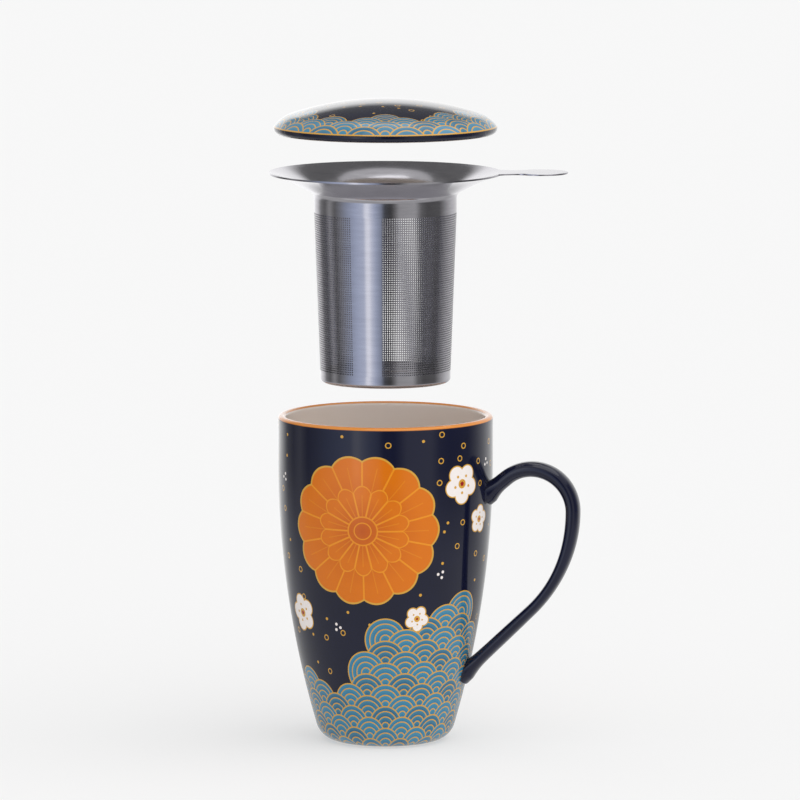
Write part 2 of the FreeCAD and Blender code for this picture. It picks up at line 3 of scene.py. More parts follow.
import bmesh
import bpy
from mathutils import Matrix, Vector


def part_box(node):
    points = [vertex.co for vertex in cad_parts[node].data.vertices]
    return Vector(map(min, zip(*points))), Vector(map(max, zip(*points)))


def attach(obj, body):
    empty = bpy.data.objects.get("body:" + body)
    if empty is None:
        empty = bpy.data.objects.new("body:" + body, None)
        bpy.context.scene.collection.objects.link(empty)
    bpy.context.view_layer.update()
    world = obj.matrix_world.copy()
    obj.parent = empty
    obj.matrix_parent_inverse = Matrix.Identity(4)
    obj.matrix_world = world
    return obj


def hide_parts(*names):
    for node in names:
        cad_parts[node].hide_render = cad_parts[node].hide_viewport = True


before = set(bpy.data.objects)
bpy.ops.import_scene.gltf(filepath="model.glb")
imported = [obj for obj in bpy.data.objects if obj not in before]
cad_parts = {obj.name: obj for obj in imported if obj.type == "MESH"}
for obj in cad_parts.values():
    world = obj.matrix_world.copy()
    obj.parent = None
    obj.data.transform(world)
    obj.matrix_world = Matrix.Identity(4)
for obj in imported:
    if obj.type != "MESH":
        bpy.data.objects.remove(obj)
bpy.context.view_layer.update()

# Metres and radians. The mug's foot is at the origin, +Z is up and the handle points to +X.

MM = 0.001
TURN = 2 * math.pi

# Sizes of the mug, as built
RIM_RADIUS = 44.5 * MM
MUG_WALL = 3.5 * MM
FLOOR_THICKNESS = 5.0 * MM
FOOT_RADIUS = 20.0 * MM
FOOT_CORNER = 9.0 * MM
FLOOR_CORNER = 7.0 * MM
STRAIGHT_FROM = 118.0 * MM
FOOT_GROOVE_RADIUS = 15.5 * MM
FOOT_GROOVE_SIZE = 0.8 * MM

# Sizes of the handle's path and section
HANDLE_REACH = 79.8 * MM
HANDLE_MIDDLE = 97.9 * MM
HANDLE_TOP_BEND = 17.1 * MM
HANDLE_SIDE_BEND = 58.0 * MM
HANDLE_UPPER_SLOPE = math.radians(40)
HANDLE_LOWER_SLOPE = math.radians(44)
HANDLE_WIDTH = 9.5 * MM

# Sizes of the infuser, whose heights are measured down from its rim
SHEET = 0.7 * MM
COLLAR_RADIUS = 47.9 * MM
NECK_RADIUS = 29.4 * MM
FLARE_BEND = 68.0 * MM
FLARE_DROP = 10.8 * MM
NECK_BEND = 3.3 * MM
NECK_BAND = 5.0 * MM
TAB_REACH = 75.1 * MM
PADDLE_RADIUS = 11.0 * MM
TAB_NECK_HALF = 7.5 * MM
TAB_NECK_BEND = 4.0 * MM
TAB_SHOULDER_BEND = 14.0 * MM
TAB_TURN = math.radians(15)
TAB_LAP = 0.4 * MM
INFUSER_END_RADIUS = 26.9 * MM
BASE_BAND = 3.6 * MM
BASE_CORNER = 1.6 * MM

# Sizes of the lid
LID_RADIUS = 46.05 * MM
LID_BAND = 2.7 * MM
LID_EDGE_BEND = 2.2 * MM
CROWN_BEND = 126.0 * MM
SHOULDER_BEND = 14.0 * MM
HOLLOW_RADIUS = 40.5 * MM
CROWN_THICKNESS = 5.0 * MM

MUG_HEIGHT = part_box("mug_body")[1][2]
INFUSER_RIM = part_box("infuser_collar")[1][2]
INFUSER_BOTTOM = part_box("infuser_base")[0][2]
LID_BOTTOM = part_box("lid")[0][2]
LID_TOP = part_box("lid")[1][2]

ROUND_STEPS = 288

# Points closer to each other, or to the axis, than this count as one
POINT_GAP = 1e-7


# Plane geometry. The last number of each arc or straight is its count of steps.


def polar(centre, radius, angle):
    return (centre[0] + radius * math.cos(angle), centre[1] + radius * math.sin(angle))


def angle_of(centre, point):
    return math.atan2(point[1] - centre[1], point[0] - centre[0])


def circle_meeting(first, first_radius, second, second_radius, side):
    apart = math.dist(first, second)
    along = (first_radius**2 - second_radius**2 + apart**2) / (2 * apart)
    across = side * math.sqrt(first_radius**2 - along**2)
    step = ((second[0] - first[0]) / apart, (second[1] - first[1]) / apart)
    return (
        first[0] + along * step[0] - across * step[1],
        first[1] + along * step[1] + across * step[0],
    )


def arc(centre, radius, start, end, steps):
    return [polar(centre, radius, start + (end - start) * i / steps) for i in range(steps + 1)]


def straight(start, end, steps):
    return [
        (start[0] + (end[0] - start[0]) * i / steps, start[1] + (end[1] - start[1]) * i / steps)
        for i in range(steps + 1)
    ]


def chain(*stretches):
    """One outline from several stretches, without the doubled points where they meet."""
    points = []
    for stretch in stretches:
        for point in stretch:
            if not points or math.dist(point, points[-1]) > POINT_GAP:
                points.append(point)
    return points


# Mesh building


SMOOTH_ANGLE = 30


def filled_mesh(name, bm):
    mesh = bpy.data.meshes.new(name)
    bm.to_mesh(mesh)
    bm.free()
    return mesh


def link_mesh(name, mesh, material):
    """An object for a mesh, put in the scene with its material."""
    piece = bpy.data.objects.new(name, mesh)
    bpy.context.scene.collection.objects.link(piece)
    mesh.materials.append(material)
    return piece


def smooth_piece(name, mesh, material, smooth_angle=SMOOTH_ANGLE):
    """An object that is smooth but for edges sharper than an angle in degrees."""
    piece = link_mesh(name, mesh, material)
    mesh.shade_smooth()
    mesh.set_sharp_from_angle(angle=math.radians(smooth_angle))
    return piece


def new_piece(name, bm, material, smooth_angle=SMOOTH_ANGLE):
    bmesh.ops.recalc_face_normals(bm, faces=bm.faces)
    return smooth_piece(name, filled_mesh(name, bm), material, smooth_angle)


def bridge(bm, first, second):
    """Four-sided faces between two closed rings with the same number of points."""
    count = len(first)
    for i in range(count):
        j = (i + 1) % count
        bm.faces.new((first[i], first[j], second[j], second[i]))


def lathe(bm, outline, steps=ROUND_STEPS, closed=True, height=0.0):
    """Turn an outline of (radius, height) points about the vertical axis."""
    turns = [TURN * i / steps for i in range(steps)]
    rings = []
    for radius, up in outline:
        if radius < POINT_GAP:
            rings.append([bm.verts.new((0, 0, height + up))])
            continue
        rings.append([bm.verts.new((*polar((0, 0), radius, turn), height + up)) for turn in turns])
    pairs = list(zip(rings, rings[1:]))
    if closed:
        pairs.append((rings[-1], rings[0]))
    for first, second in pairs:
        if len(first) == len(second):
            bridge(bm, first, second)
            continue
        for i in range(steps):
            j = (i + 1) % steps
            if len(first) == 1:
                bm.faces.new((first[0], second[j], second[i]))
            else:
                bm.faces.new((first[i], first[j], second[0]))


def sheet_mesh(name, points, faces, material):
    """A piece from lists of points and faces, for the finely perforated sheets."""
    mesh = bpy.data.meshes.new(name)
    mesh.from_pydata(points, [], faces)
    mesh.update()
    return smooth_piece(name, mesh, material)


# Shader building

SOFT_EDGE = 0.12


def operation(name):
    """A method that works a math node on a field and what is given with it."""
    return lambda field, *others: field.step(name, *others)


class Field:
    """A number that varies over a surface, worked out by math nodes."""

    def __init__(self, tree, socket):
        self.tree = tree
        self.socket = socket

    def step(self, name, *others):
        node = self.tree.nodes.new("ShaderNodeMath")
        node.operation = name
        for place, item in enumerate((self, *others)):
            if isinstance(item, Field):
                self.tree.links.new(item.socket, node.inputs[place])
            else:
                node.inputs[place].default_value = item
        return Field(self.tree, node.outputs[0])

    __add__ = operation("ADD")
    __sub__ = operation("SUBTRACT")
    __mul__ = operation("MULTIPLY")
    __truediv__ = operation("DIVIDE")
    absolute = operation("ABSOLUTE")
    floor = operation("FLOOR")
    root = operation("SQRT")
    sine = operation("SINE")
    cosine = operation("COSINE")
    lesser = operation("MINIMUM")
    greater = operation("MAXIMUM")
    below = operation("LESS_THAN")
    above = operation("GREATER_THAN")
    angle_from = operation("ARCTAN2")

    def __rsub__(self, other):
        return (self * -1.0) + other

    def wrapped(self, low, high):
        return self.step("WRAP", high, low)

    def clamped(self):
        return self.greater(0.0).lesser(1.0)

    def inside(self, edge=SOFT_EDGE):
        """1 where a signed distance in millimetres is negative, with a soft edge."""
        return (0.5 - self / edge).clamped()

    def line(self, width, edge=SOFT_EDGE):
        """1 within half a width of the zero of a signed distance."""
        return (self.absolute() - width / 2).inside(edge)

    def unless(self, mask):
        return self * (1.0 - mask)


def length_of(across, up):
    return (across * across + up * up).root()


def colour_mix(tree, first, second, mask):
    """One colour laid over another by a mask. Sockets 6 and 7 of the node are its colours."""
    node = tree.nodes.new("ShaderNodeMix")
    node.data_type = "RGBA"
    for socket, value in ((node.inputs[6], first), (node.inputs[7], second)):
        if isinstance(value, tuple):
            socket.default_value = (*value, 1.0)
        else:
            tree.links.new(value, socket)
    tree.links.new(mask.socket, node.inputs[0])
    return node.outputs[2]


def srgb(red, green, blue):
    """A colour given as it looks on a screen, 0 to 255, by the standard curve for screens."""
    return tuple(
        ((value / 255 + 0.055) / 1.055) ** 2.4 if value > 10 else value / 255 / 12.92
        for value in (red, green, blue)
    )


NAVY = srgb(12, 15, 38)
LIGHT_NAVY = srgb(19, 23, 50)
TURQUOISE = srgb(40, 116, 156)
PALE_TURQUOISE = srgb(88, 156, 176)
DEEP_TURQUOISE = srgb(22, 70, 108)
GOLD = srgb(210, 158, 58)
ORANGE = srgb(214, 112, 0)
DEEP_ORANGE = srgb(188, 84, 0)
PALE_ORANGE = srgb(238, 156, 30)
LIP_GOLD = srgb(222, 138, 52)
WHITE = srgb(240, 232, 228)
RED = srgb(150, 26, 24)
CREAM = srgb(246, 233, 222)
PALE_CREAM = srgb(250, 240, 232)
BISQUE = srgb(206, 194, 178)
STEEL_DARK = srgb(190, 188, 194)
STEEL_LIGHT = srgb(212, 210, 216)

GLAZE_ROUGHNESS = 0.16
BARE_ROUGHNESS = 0.5
GLAZE_BUMP = 0.08 * MM
WAVINESS_SCALE = 60.0
WAVINESS_SHARE = 0.35
LINE_RELIEF = 0.5
STEEL_GRAIN = 0.0015 * MM
GRAIN_ROUGHNESS = 0.06
GRAIN_DETAIL = 3.0


def new_material(name):
    material = bpy.data.materials.new(name)
    material.use_nodes = True
    shader = material.node_tree.nodes["Principled BSDF"]
    return material, material.node_tree, shader


def place_fields(tree):
    """Position on the surface in millimetres: x, y and z."""
    coordinates = tree.nodes.new("ShaderNodeTexCoord")
    split = tree.nodes.new("ShaderNodeSeparateXYZ")
    tree.links.new(coordinates.outputs["Object"], split.inputs[0])
    return [Field(tree, split.outputs[i]) * 1000.0 for i in range(3)]


def noise_field(tree, scale, detail=GRAIN_DETAIL, stretch=None):
    """Noise over the piece, with a scale of its own for each axis where stretch is given."""
    place = tree.nodes.new("ShaderNodeTexCoord").outputs["Object"]
    if stretch is not None:
        mapping = tree.nodes.new("ShaderNodeMapping")
        mapping.inputs["Scale"].default_value = stretch
        tree.links.new(place, mapping.inputs[0])
        place = mapping.outputs[0]
    noise = tree.nodes.new("ShaderNodeTexNoise")
    noise.inputs["Scale"].default_value = scale
    noise.inputs["Detail"].default_value = detail
    tree.links.new(place, noise.inputs["Vector"])
    return Field(tree, noise.outputs[0])


def add_bump(tree, shader, height, depth):
    bump = tree.nodes.new("ShaderNodeBump")
    bump.inputs["Distance"].default_value = depth
    bump.inputs["Strength"].default_value = 1.0
    tree.links.new(height.socket, bump.inputs["Height"])
    tree.links.new(bump.outputs[0], shader.inputs["Normal"])


def glossy_glaze(shader):
    shader.inputs["Roughness"].default_value = GLAZE_ROUGHNESS
    shader.inputs["IOR"].default_value = 1.5
    shader.inputs["Specular IOR Level"].default_value = 0.2
    shader.inputs["Coat Weight"].default_value = 1.0
    shader.inputs["Coat Roughness"].default_value = 0.035
    shader.inputs["Coat IOR"].default_value = 1.45


# Steps of the number that is each scale's own, chosen so that neighbours differ
MARK_ACROSS = 0.731
MARK_UP = 2.17

# Parts of a scale, as shares of its radius or of one band. The edges say how sharply each ends.
SCALE_BANDS = 4.0
BAND_PALENESS = 0.55
BAND_LINE = 0.36
BAND_LINE_EDGE = 14.0
OUTER_LINE = 0.93
OUTER_LINE_EDGE = 40.0
SCALE_EYE = 0.16
SCALE_EYE_EDGE = 30.0


def scale_hills(across, up, radius, hill):
    """Overlapping round scales under a wavy crest. Gives how far out in its scale a point is,
    0 to 1, whether any scale covers it, and a number that is the scale's own."""
    row = (up / (radius / 2)).floor()
    out = None
    for behind in (1, 0, -1):
        level = row + float(behind)
        odd = level.wrapped(0.0, 2.0)
        shifted = across - odd * radius
        off = shifted.wrapped(-radius, radius)
        middle = across - off
        rise = up - level * (radius / 2)
        far = length_of(off, rise) / radius
        there = far.below(1.0) * (level * (radius / 2) - hill(middle)).below(0.0)
        own = (middle * MARK_ACROSS + level * MARK_UP).sine()
        if out is None:
            out = far * there
            covered = there
            mark = own * there
        else:
            out = out.unless(there) + far * there
            covered = covered.greater(there)
            mark = mark.unless(there) + own * there
    return out, covered, mark


def scale_colours(tree, ground, far, covered, mark):
    """Turquoise bands between gold lines, over a ground colour."""
    blue = colour_mix(tree, DEEP_TURQUOISE, TURQUOISE, (mark * 0.5 + 0.75).clamped())
    band = (far * SCALE_BANDS).wrapped(0.0, 1.0)
    shade = colour_mix(tree, blue, PALE_TURQUOISE, (band * BAND_PALENESS).clamped())
    rings = (band - 0.5).absolute() - BAND_LINE
    outer_line = ((far - OUTER_LINE) * OUTER_LINE_EDGE).clamped()
    gold = (rings * BAND_LINE_EDGE).clamped().greater(outer_line)
    gold = gold.unless(((SCALE_EYE - far) * SCALE_EYE_EDGE).clamped())
    filled = colour_mix(tree, shade, GOLD, gold)
    return colour_mix(tree, ground, filled, covered), gold * covered


# Shapes shared by pieces and materials

CAMERA_TURN = math.radians(15)
SIDE_BEND_RISE = STRAIGHT_FROM - FOOT_CORNER
SIDE_NARROWING = RIM_RADIUS - FOOT_RADIUS
SIDE_BEND = (SIDE_NARROWING**2 - FOOT_CORNER**2 + SIDE_BEND_RISE**2) / (2 * (SIDE_NARROWING - FOOT_CORNER))
SIDE_CENTRE = (RIM_RADIUS - SIDE_BEND, STRAIGHT_FROM)
NECK_CENTRE = (NECK_RADIUS + NECK_BEND, -FLARE_DROP)
FLARE_CENTRE = circle_meeting(
    NECK_CENTRE, FLARE_BEND - NECK_BEND, (COLLAR_RADIUS, 0.0), FLARE_BEND + SHEET, -1
)
INFUSER_DEPTH = INFUSER_RIM - INFUSER_BOTTOM
WALL_TOP = -FLARE_DROP - NECK_BAND
WALL_FOOT = -INFUSER_DEPTH + BASE_BAND
LID_HEIGHT = LID_TOP - LID_BOTTOM


def mug_radius(height):
    if height >= STRAIGHT_FROM:
        return RIM_RADIUS
    return SIDE_CENTRE[0] + math.sqrt(SIDE_BEND**2 - (STRAIGHT_FROM - height) ** 2)


# Mug


def mug_outline():
    groove = FOOT_GROOVE_SIZE
    corner_centre = (FOOT_RADIUS, FOOT_CORNER)
    meeting = angle_of(SIDE_CENTRE, corner_centre)
    lip = MUG_WALL / 2
    inner_bend = SIDE_BEND - MUG_WALL
    corner_up = FLOOR_THICKNESS + FLOOR_CORNER
    reach = math.sqrt((inner_bend - FLOOR_CORNER) ** 2 - (STRAIGHT_FROM - corner_up) ** 2)
    inner_centre = (SIDE_CENTRE[0] + reach, corner_up)
    inner_meeting = angle_of(SIDE_CENTRE, inner_centre)
    return chain(
        straight((0, 0), (FOOT_GROOVE_RADIUS - groove, 0), 3),
        arc((FOOT_GROOVE_RADIUS, 0), groove, math.pi, 0, 8),
        arc(corner_centre, FOOT_CORNER, -math.pi / 2, meeting, 16),
        arc(SIDE_CENTRE, SIDE_BEND, meeting, 0, 60),
        straight((RIM_RADIUS, STRAIGHT_FROM), (RIM_RADIUS, MUG_HEIGHT - lip), 8),
        arc((RIM_RADIUS - lip, MUG_HEIGHT - lip), lip, 0, math.pi, 14),
        straight((RIM_RADIUS - MUG_WALL, MUG_HEIGHT - lip), (RIM_RADIUS - MUG_WALL, STRAIGHT_FROM), 8),
        arc(SIDE_CENTRE, inner_bend, 0, inner_meeting, 60),
        arc(inner_centre, FLOOR_CORNER, inner_meeting, -math.pi / 2, 12),
        straight((inner_centre[0], FLOOR_THICKNESS), (0, FLOOR_THICKNESS), 6),
    )


def make_mug(material):
    bm = bmesh.new()
    lathe(bm, mug_outline(), closed=False)
    piece = new_piece("mug_body", bm, material, smooth_angle=50)
    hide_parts("mug_body")
    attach(piece, "mug")


# Handle

HANDLE_STEP = 0.6 * MM
HANDLE_SUNK = 1.6 * MM
HANDLE_ROUND = 2.4
ROOT_FLARE = 0.42
ROOT_FLARE_REACH = 5.0 * MM
ROOT_WIDENING = 0.5
HANDLE_SIDES = 40

# Thickness by the place along the handle, 0 at its upper root and 1 at its lower one
HANDLE_THICK = (
    (0.0, 6.6 * MM), (0.2, 6.4 * MM), (0.38, 5.8 * MM),
    (0.62, 4.7 * MM), (0.85, 5.3 * MM), (1.0, 5.8 * MM),
)


def handle_leg(bend, slope, upward):
    """Points from the handle's outermost point to just inside the mug's wall."""
    centre = (HANDLE_REACH - bend, HANDLE_MIDDLE)
    way = 1 if upward else -1
    end = math.pi / 2 + slope if upward else math.pi / 2 - slope
    steps = round(bend * end / HANDLE_STEP)
    points = [polar(centre, bend, way * end * i / steps) for i in range(steps + 1)]
    lean = (-math.cos(slope) * HANDLE_STEP, -math.sin(slope) * HANDLE_STEP)
    point = points[-1]
    while point[0] > mug_radius(point[1]) - HANDLE_SUNK:
        point = (point[0] + lean[0], point[1] + lean[1])
        points.append(point)
    return points


def handle_path():
    upper = handle_leg(HANDLE_TOP_BEND, HANDLE_UPPER_SLOPE, True)
    lower = handle_leg(HANDLE_SIDE_BEND, HANDLE_LOWER_SLOPE, False)
    return upper[::-1] + lower[1:]


def between(table, place):
    """Value at a place in a table of (place, value), eased from one to the next."""
    for (low, first), (high, second) in zip(table, table[1:]):
        if place <= high:
            part = (place - low) / (high - low)
            part = part * part * (3 - 2 * part)
            return first + (second - first) * part
    return table[-1][1]


def rounded(angle, half_across, half_up):
    """Point of a section between an ellipse and a rectangle."""
    across = math.cos(angle)
    up = math.sin(angle)
    swell = (abs(across) ** HANDLE_ROUND + abs(up) ** HANDLE_ROUND) ** (-1 / HANDLE_ROUND)
    return half_across * swell * across, half_up * swell * up


def make_handle(material):
    path = handle_path()
    along = [0.0]
    for first, second in zip(path, path[1:]):
        along.append(along[-1] + math.dist(first, second))
    total = along[-1]
    bm = bmesh.new()
    rings = []
    for i, point in enumerate(path):
        before = path[max(i - 1, 0)]
        after = path[min(i + 1, len(path) - 1)]
        run = math.dist(before, after)
        normal = ((before[1] - after[1]) / run, (after[0] - before[0]) / run)
        root = max(point[0] - mug_radius(point[1]), 0.0)
        flare = 1 + ROOT_FLARE * max(0.0, 1 - root / ROOT_FLARE_REACH) ** 2
        thick = between(HANDLE_THICK, along[i] / total) * flare
        wide = HANDLE_WIDTH * (1 + (flare - 1) * ROOT_WIDENING)
        ring = []
        for k in range(HANDLE_SIDES):
            side, out = rounded(TURN * k / HANDLE_SIDES, wide / 2, thick / 2)
            ring.append(bm.verts.new((point[0] + out * normal[0], side, point[1] + out * normal[1])))
        rings.append(ring)
    for first, second in zip(rings, rings[1:]):
        bridge(bm, first, second)
    bm.faces.new(rings[0])
    bm.faces.new(rings[-1][::-1])
    piece = new_piece("mug_handle", bm, material, smooth_angle=60)
    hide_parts("mug_handle")
    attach(piece, "mug")


# Infuser


def collar_outline():
    over_start = angle_of(FLARE_CENTRE, (COLLAR_RADIUS, 0.0))
    under_up = FLARE_CENTRE[1] + math.sqrt(FLARE_BEND**2 - (COLLAR_RADIUS - FLARE_CENTRE[0]) ** 2)
    under_start = angle_of(FLARE_CENTRE, (COLLAR_RADIUS, under_up))
    meeting = angle_of(FLARE_CENTRE, NECK_CENTRE)
    steps = 40
    return chain(
        arc(FLARE_CENTRE, FLARE_BEND + SHEET, over_start, meeting, steps),
        arc(NECK_CENTRE, NECK_BEND + SHEET, meeting, math.pi, 14),
        straight((NECK_RADIUS - SHEET, -FLARE_DROP), (NECK_RADIUS - SHEET, WALL_TOP), 6),
        straight((NECK_RADIUS, WALL_TOP), (NECK_RADIUS, -FLARE_DROP), 6),
        arc(NECK_CENTRE, NECK_BEND, math.pi, meeting, 14),
        arc(FLARE_CENTRE, FLARE_BEND, meeting, under_start, steps),
    )


def tab_outline():
    """Thumb tab seen from above, run from its near side over the paddle to its far side."""
    middle = TAB_REACH - PADDLE_RADIUS
    run = math.sqrt((PADDLE_RADIUS + TAB_NECK_BEND) ** 2 - (TAB_NECK_HALF + TAB_NECK_BEND) ** 2)
    neck_at = middle - run
    root = COLLAR_RADIUS - TAB_LAP
    bend_centre = (neck_at, TAB_NECK_HALF + TAB_NECK_BEND)
    shoulder_centre = (neck_at, TAB_NECK_HALF + TAB_SHOULDER_BEND)
    start = circle_meeting((0, 0), root, shoulder_centre, TAB_SHOULDER_BEND, -1)
    lean = angle_of((middle, 0), bend_centre)
    far = chain(
        arc((middle, 0), PADDLE_RADIUS, 0, lean, 36),
        arc(bend_centre, TAB_NECK_BEND, lean - math.pi, -math.pi / 2, 12),
        arc(shoulder_centre, TAB_SHOULDER_BEND, -math.pi / 2, angle_of(shoulder_centre, start), 20),
    )
    near = [(x, -y) for x, y in far[::-1]]
    return near + far[1:]


TAB_BEVEL = 0.14 * MM


def add_plate(bm, outline, low, high, bevel):
    """Flat plate over an outline, with its edges rounded by a bevel."""
    count = len(outline)
    inset = []
    for i, point in enumerate(outline):
        before = outline[i - 1] if i else outline[0]
        after = outline[(i + 1) % count] if i < count - 1 else outline[-1]
        run = math.dist(before, after)
        out = ((after[1] - before[1]) / run * bevel, (after[0] - before[0]) / run * bevel)
        inset.append((point[0] - out[0], point[1] + out[1]))
    levels = ((inset, low), (outline, low + bevel), (outline, high - bevel), (inset, high))
    rings = [[bm.verts.new((x, y, z)) for x, y in points] for points, z in levels]
    for first, second in zip(rings, rings[1:]):
        bridge(bm, first, second)
    bm.faces.new(rings[0][::-1])
    bm.faces.new(rings[-1])


def turn_piece(piece, angle, height):
    """Turn a piece about the axis and lift it, in its mesh."""
    for vertex in piece.data.vertices:
        x, y, z = vertex.co
        vertex.co = (
            x * math.cos(angle) - y * math.sin(angle),
            x * math.sin(angle) + y * math.cos(angle),
            z + height,
        )


def make_collar(material):
    bm = bmesh.new()
    lathe(bm, collar_outline())
    collar = new_piece("infuser_flare", bm, material)
    bm = bmesh.new()
    add_plate(bm, tab_outline(), -SHEET, 0.0, TAB_BEVEL)
    tab = new_piece("infuser_tab", bm, material)
    for piece in (collar, tab):
        turn_piece(piece, TAB_TURN, INFUSER_RIM)
        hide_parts("infuser_collar")
        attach(piece, "infuser")


# Perforated sheets

MESH_PITCH = 0.92 * MM
MESH_SOLID = 0.4
MESH_THICKNESS = 0.45 * MM
FIELD_TOP = -16.3 * MM
FIELD_FOOT = -81.7 * MM
FLOOR_MESH_RADIUS = 23.0 * MM
FLOOR_RING_RADIUS = 22.0 * MM
SEAM_TURN = math.radians(-91)
SEAM_SPAN = math.radians(26)
SEAM_RISE = 0.15 * MM
SEAM_STEPS = 24

# The cells beside a cell, in the order of its four sides
NEIGHBOURS = ((0, -1), (1, 0), (0, 1), (-1, 0))


def perforated_sheet(name, cells, place, material):
    """Closed sheet with a square hole in each cell. place gives the point of a column and row
    on the sheet's near or far face."""
    points = []
    faces = []
    known = {}

    def corner(column, row, face):
        key = (column, row, face)
        if key not in known:
            known[key] = len(points)
            points.append(place(column, row, face))
        return known[key]

    low = MESH_SOLID / 2
    high = 1 - low
    present = set(cells)
    for column, row in cells:
        square = [(column, row), (column + 1, row), (column + 1, row + 1), (column, row + 1)]
        hole = [(column + a, row + b) for a, b in ((low, low), (high, low), (high, high), (low, high))]
        near, far, near_hole, far_hole = (
            [corner(*spot, face) for spot in spots]
            for spots, face in ((square, 0), (square, 1), (hole, 0), (hole, 1))
        )
        for i in range(4):
            j = (i + 1) % 4
            faces.append((near[i], near[j], near_hole[j], near_hole[i]))
            faces.append((far[j], far[i], far_hole[i], far_hole[j]))
            faces.append((near_hole[i], near_hole[j], far_hole[j], far_hole[i]))
            across, up = NEIGHBOURS[i]
            if (column + across, row + up) not in present:
                faces.append((far[i], far[j], near[j], near[i]))
    return sheet_mesh(name, points, faces, material)


def wall_radius(height):
    part = (height - WALL_TOP) / (WALL_FOOT - WALL_TOP)
    return NECK_RADIUS + (INFUSER_END_RADIUS - NECK_RADIUS) * part


def make_wall(material):
    """The tube in two halves, each under the limit on faces, with plain bands and a lap seam."""
    field_turn = TURN - SEAM_SPAN
    columns = 2 * round(field_turn * wall_radius((FIELD_TOP + FIELD_FOOT) / 2) / MESH_PITCH / 2)
    rows = round((FIELD_TOP - FIELD_FOOT) / MESH_PITCH)

    def place(column, row, face):
        height = FIELD_FOOT + (FIELD_TOP - FIELD_FOOT) * row / rows
        radius = wall_radius(height) - MESH_THICKNESS * face
        angle = SEAM_TURN + SEAM_SPAN / 2 + field_turn * column / columns
        return (radius * math.cos(angle), radius * math.sin(angle), INFUSER_RIM + height)

    half = columns // 2
    pieces = [
        perforated_sheet(
            f"infuser_mesh_{side}",
            [(column, row) for column in range(first, first + half) for row in range(rows)],
            place,
            material,
        )
        for side, first in (("near", 0), ("far", half))
    ]
    bm = bmesh.new()
    for top, foot in ((WALL_TOP, FIELD_TOP), (FIELD_FOOT, WALL_FOOT)):
        outer = [(wall_radius(top), top), (wall_radius(foot), foot)]
        inner = [(wall_radius(foot) - SHEET, foot), (wall_radius(top) - SHEET, top)]
        lathe(bm, outer + inner, height=INFUSER_RIM)
    pieces.append(new_piece("infuser_bands", bm, material))
    bm = bmesh.new()
    add_seam(bm)
    pieces.append(new_piece("infuser_seam", bm, material))
    for piece in pieces:
        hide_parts("infuser_wall")
        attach(piece, "infuser")


def add_seam(bm):
    """Plain strip of sheet, raised a little along one edge where it laps."""
    rings = []
    for height in (FIELD_TOP, FIELD_FOOT):
        radius = wall_radius(height)
        outer = []
        inner = []
        for i in range(SEAM_STEPS + 1):
            angle = SEAM_TURN + SEAM_SPAN * (i / SEAM_STEPS - 0.5)
            rise = SEAM_RISE * i / SEAM_STEPS
            outer.append((*polar((0, 0), radius + rise, angle), INFUSER_RIM + height))
            inner.append((*polar((0, 0), radius - MESH_THICKNESS, angle), INFUSER_RIM + height))
        rings.append([bm.verts.new(point) for point in outer + inner[::-1]])
    bridge(bm, rings[0], rings[1])
    bm.faces.new(rings[0])
    bm.faces.new(rings[1][::-1])


def floor_cells():
    """The cells of the floor's mesh that lie wholly within its radius."""
    reach = int(FLOOR_MESH_RADIUS / MESH_PITCH) + 1
    cells = []
    for column in range(-reach, reach):
        for row in range(-reach, reach):
            far = math.hypot(max(abs(column), abs(column + 1)), max(abs(row), abs(row + 1)))
            if far * MESH_PITCH < FLOOR_MESH_RADIUS:
                cells.append((column, row))
    return cells


def make_base(material):
    """Pressed cup with a perforated floor let into its ring."""
    turn_centre = (INFUSER_END_RADIUS - BASE_CORNER, BASE_CORNER)
    outline = chain(
        straight((FLOOR_RING_RADIUS, 0), (turn_centre[0], 0), 2),
        arc(turn_centre, BASE_CORNER, -math.pi / 2, 0, 10),
        straight((INFUSER_END_RADIUS, BASE_CORNER), (INFUSER_END_RADIUS, BASE_BAND), 2),
        straight((INFUSER_END_RADIUS - SHEET, BASE_BAND), (INFUSER_END_RADIUS - SHEET, BASE_CORNER), 2),
        arc(turn_centre, BASE_CORNER - SHEET, 0, -math.pi / 2, 8),
        straight((turn_centre[0], SHEET), (FLOOR_RING_RADIUS, SHEET), 2),
    )
    bm = bmesh.new()
    lathe(bm, outline, height=INFUSER_BOTTOM)
    ring = new_piece("infuser_cup", bm, material)

    def place(column, row, face):
        height = (SHEET + MESH_THICKNESS) / 2 - MESH_THICKNESS * face
        return (column * MESH_PITCH, row * MESH_PITCH, INFUSER_BOTTOM + height)

    floor = perforated_sheet("infuser_floor_mesh", floor_cells(), place, material)
    for piece in (ring, floor):
        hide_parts("infuser_base")
        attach(piece, "infuser")


# Lid


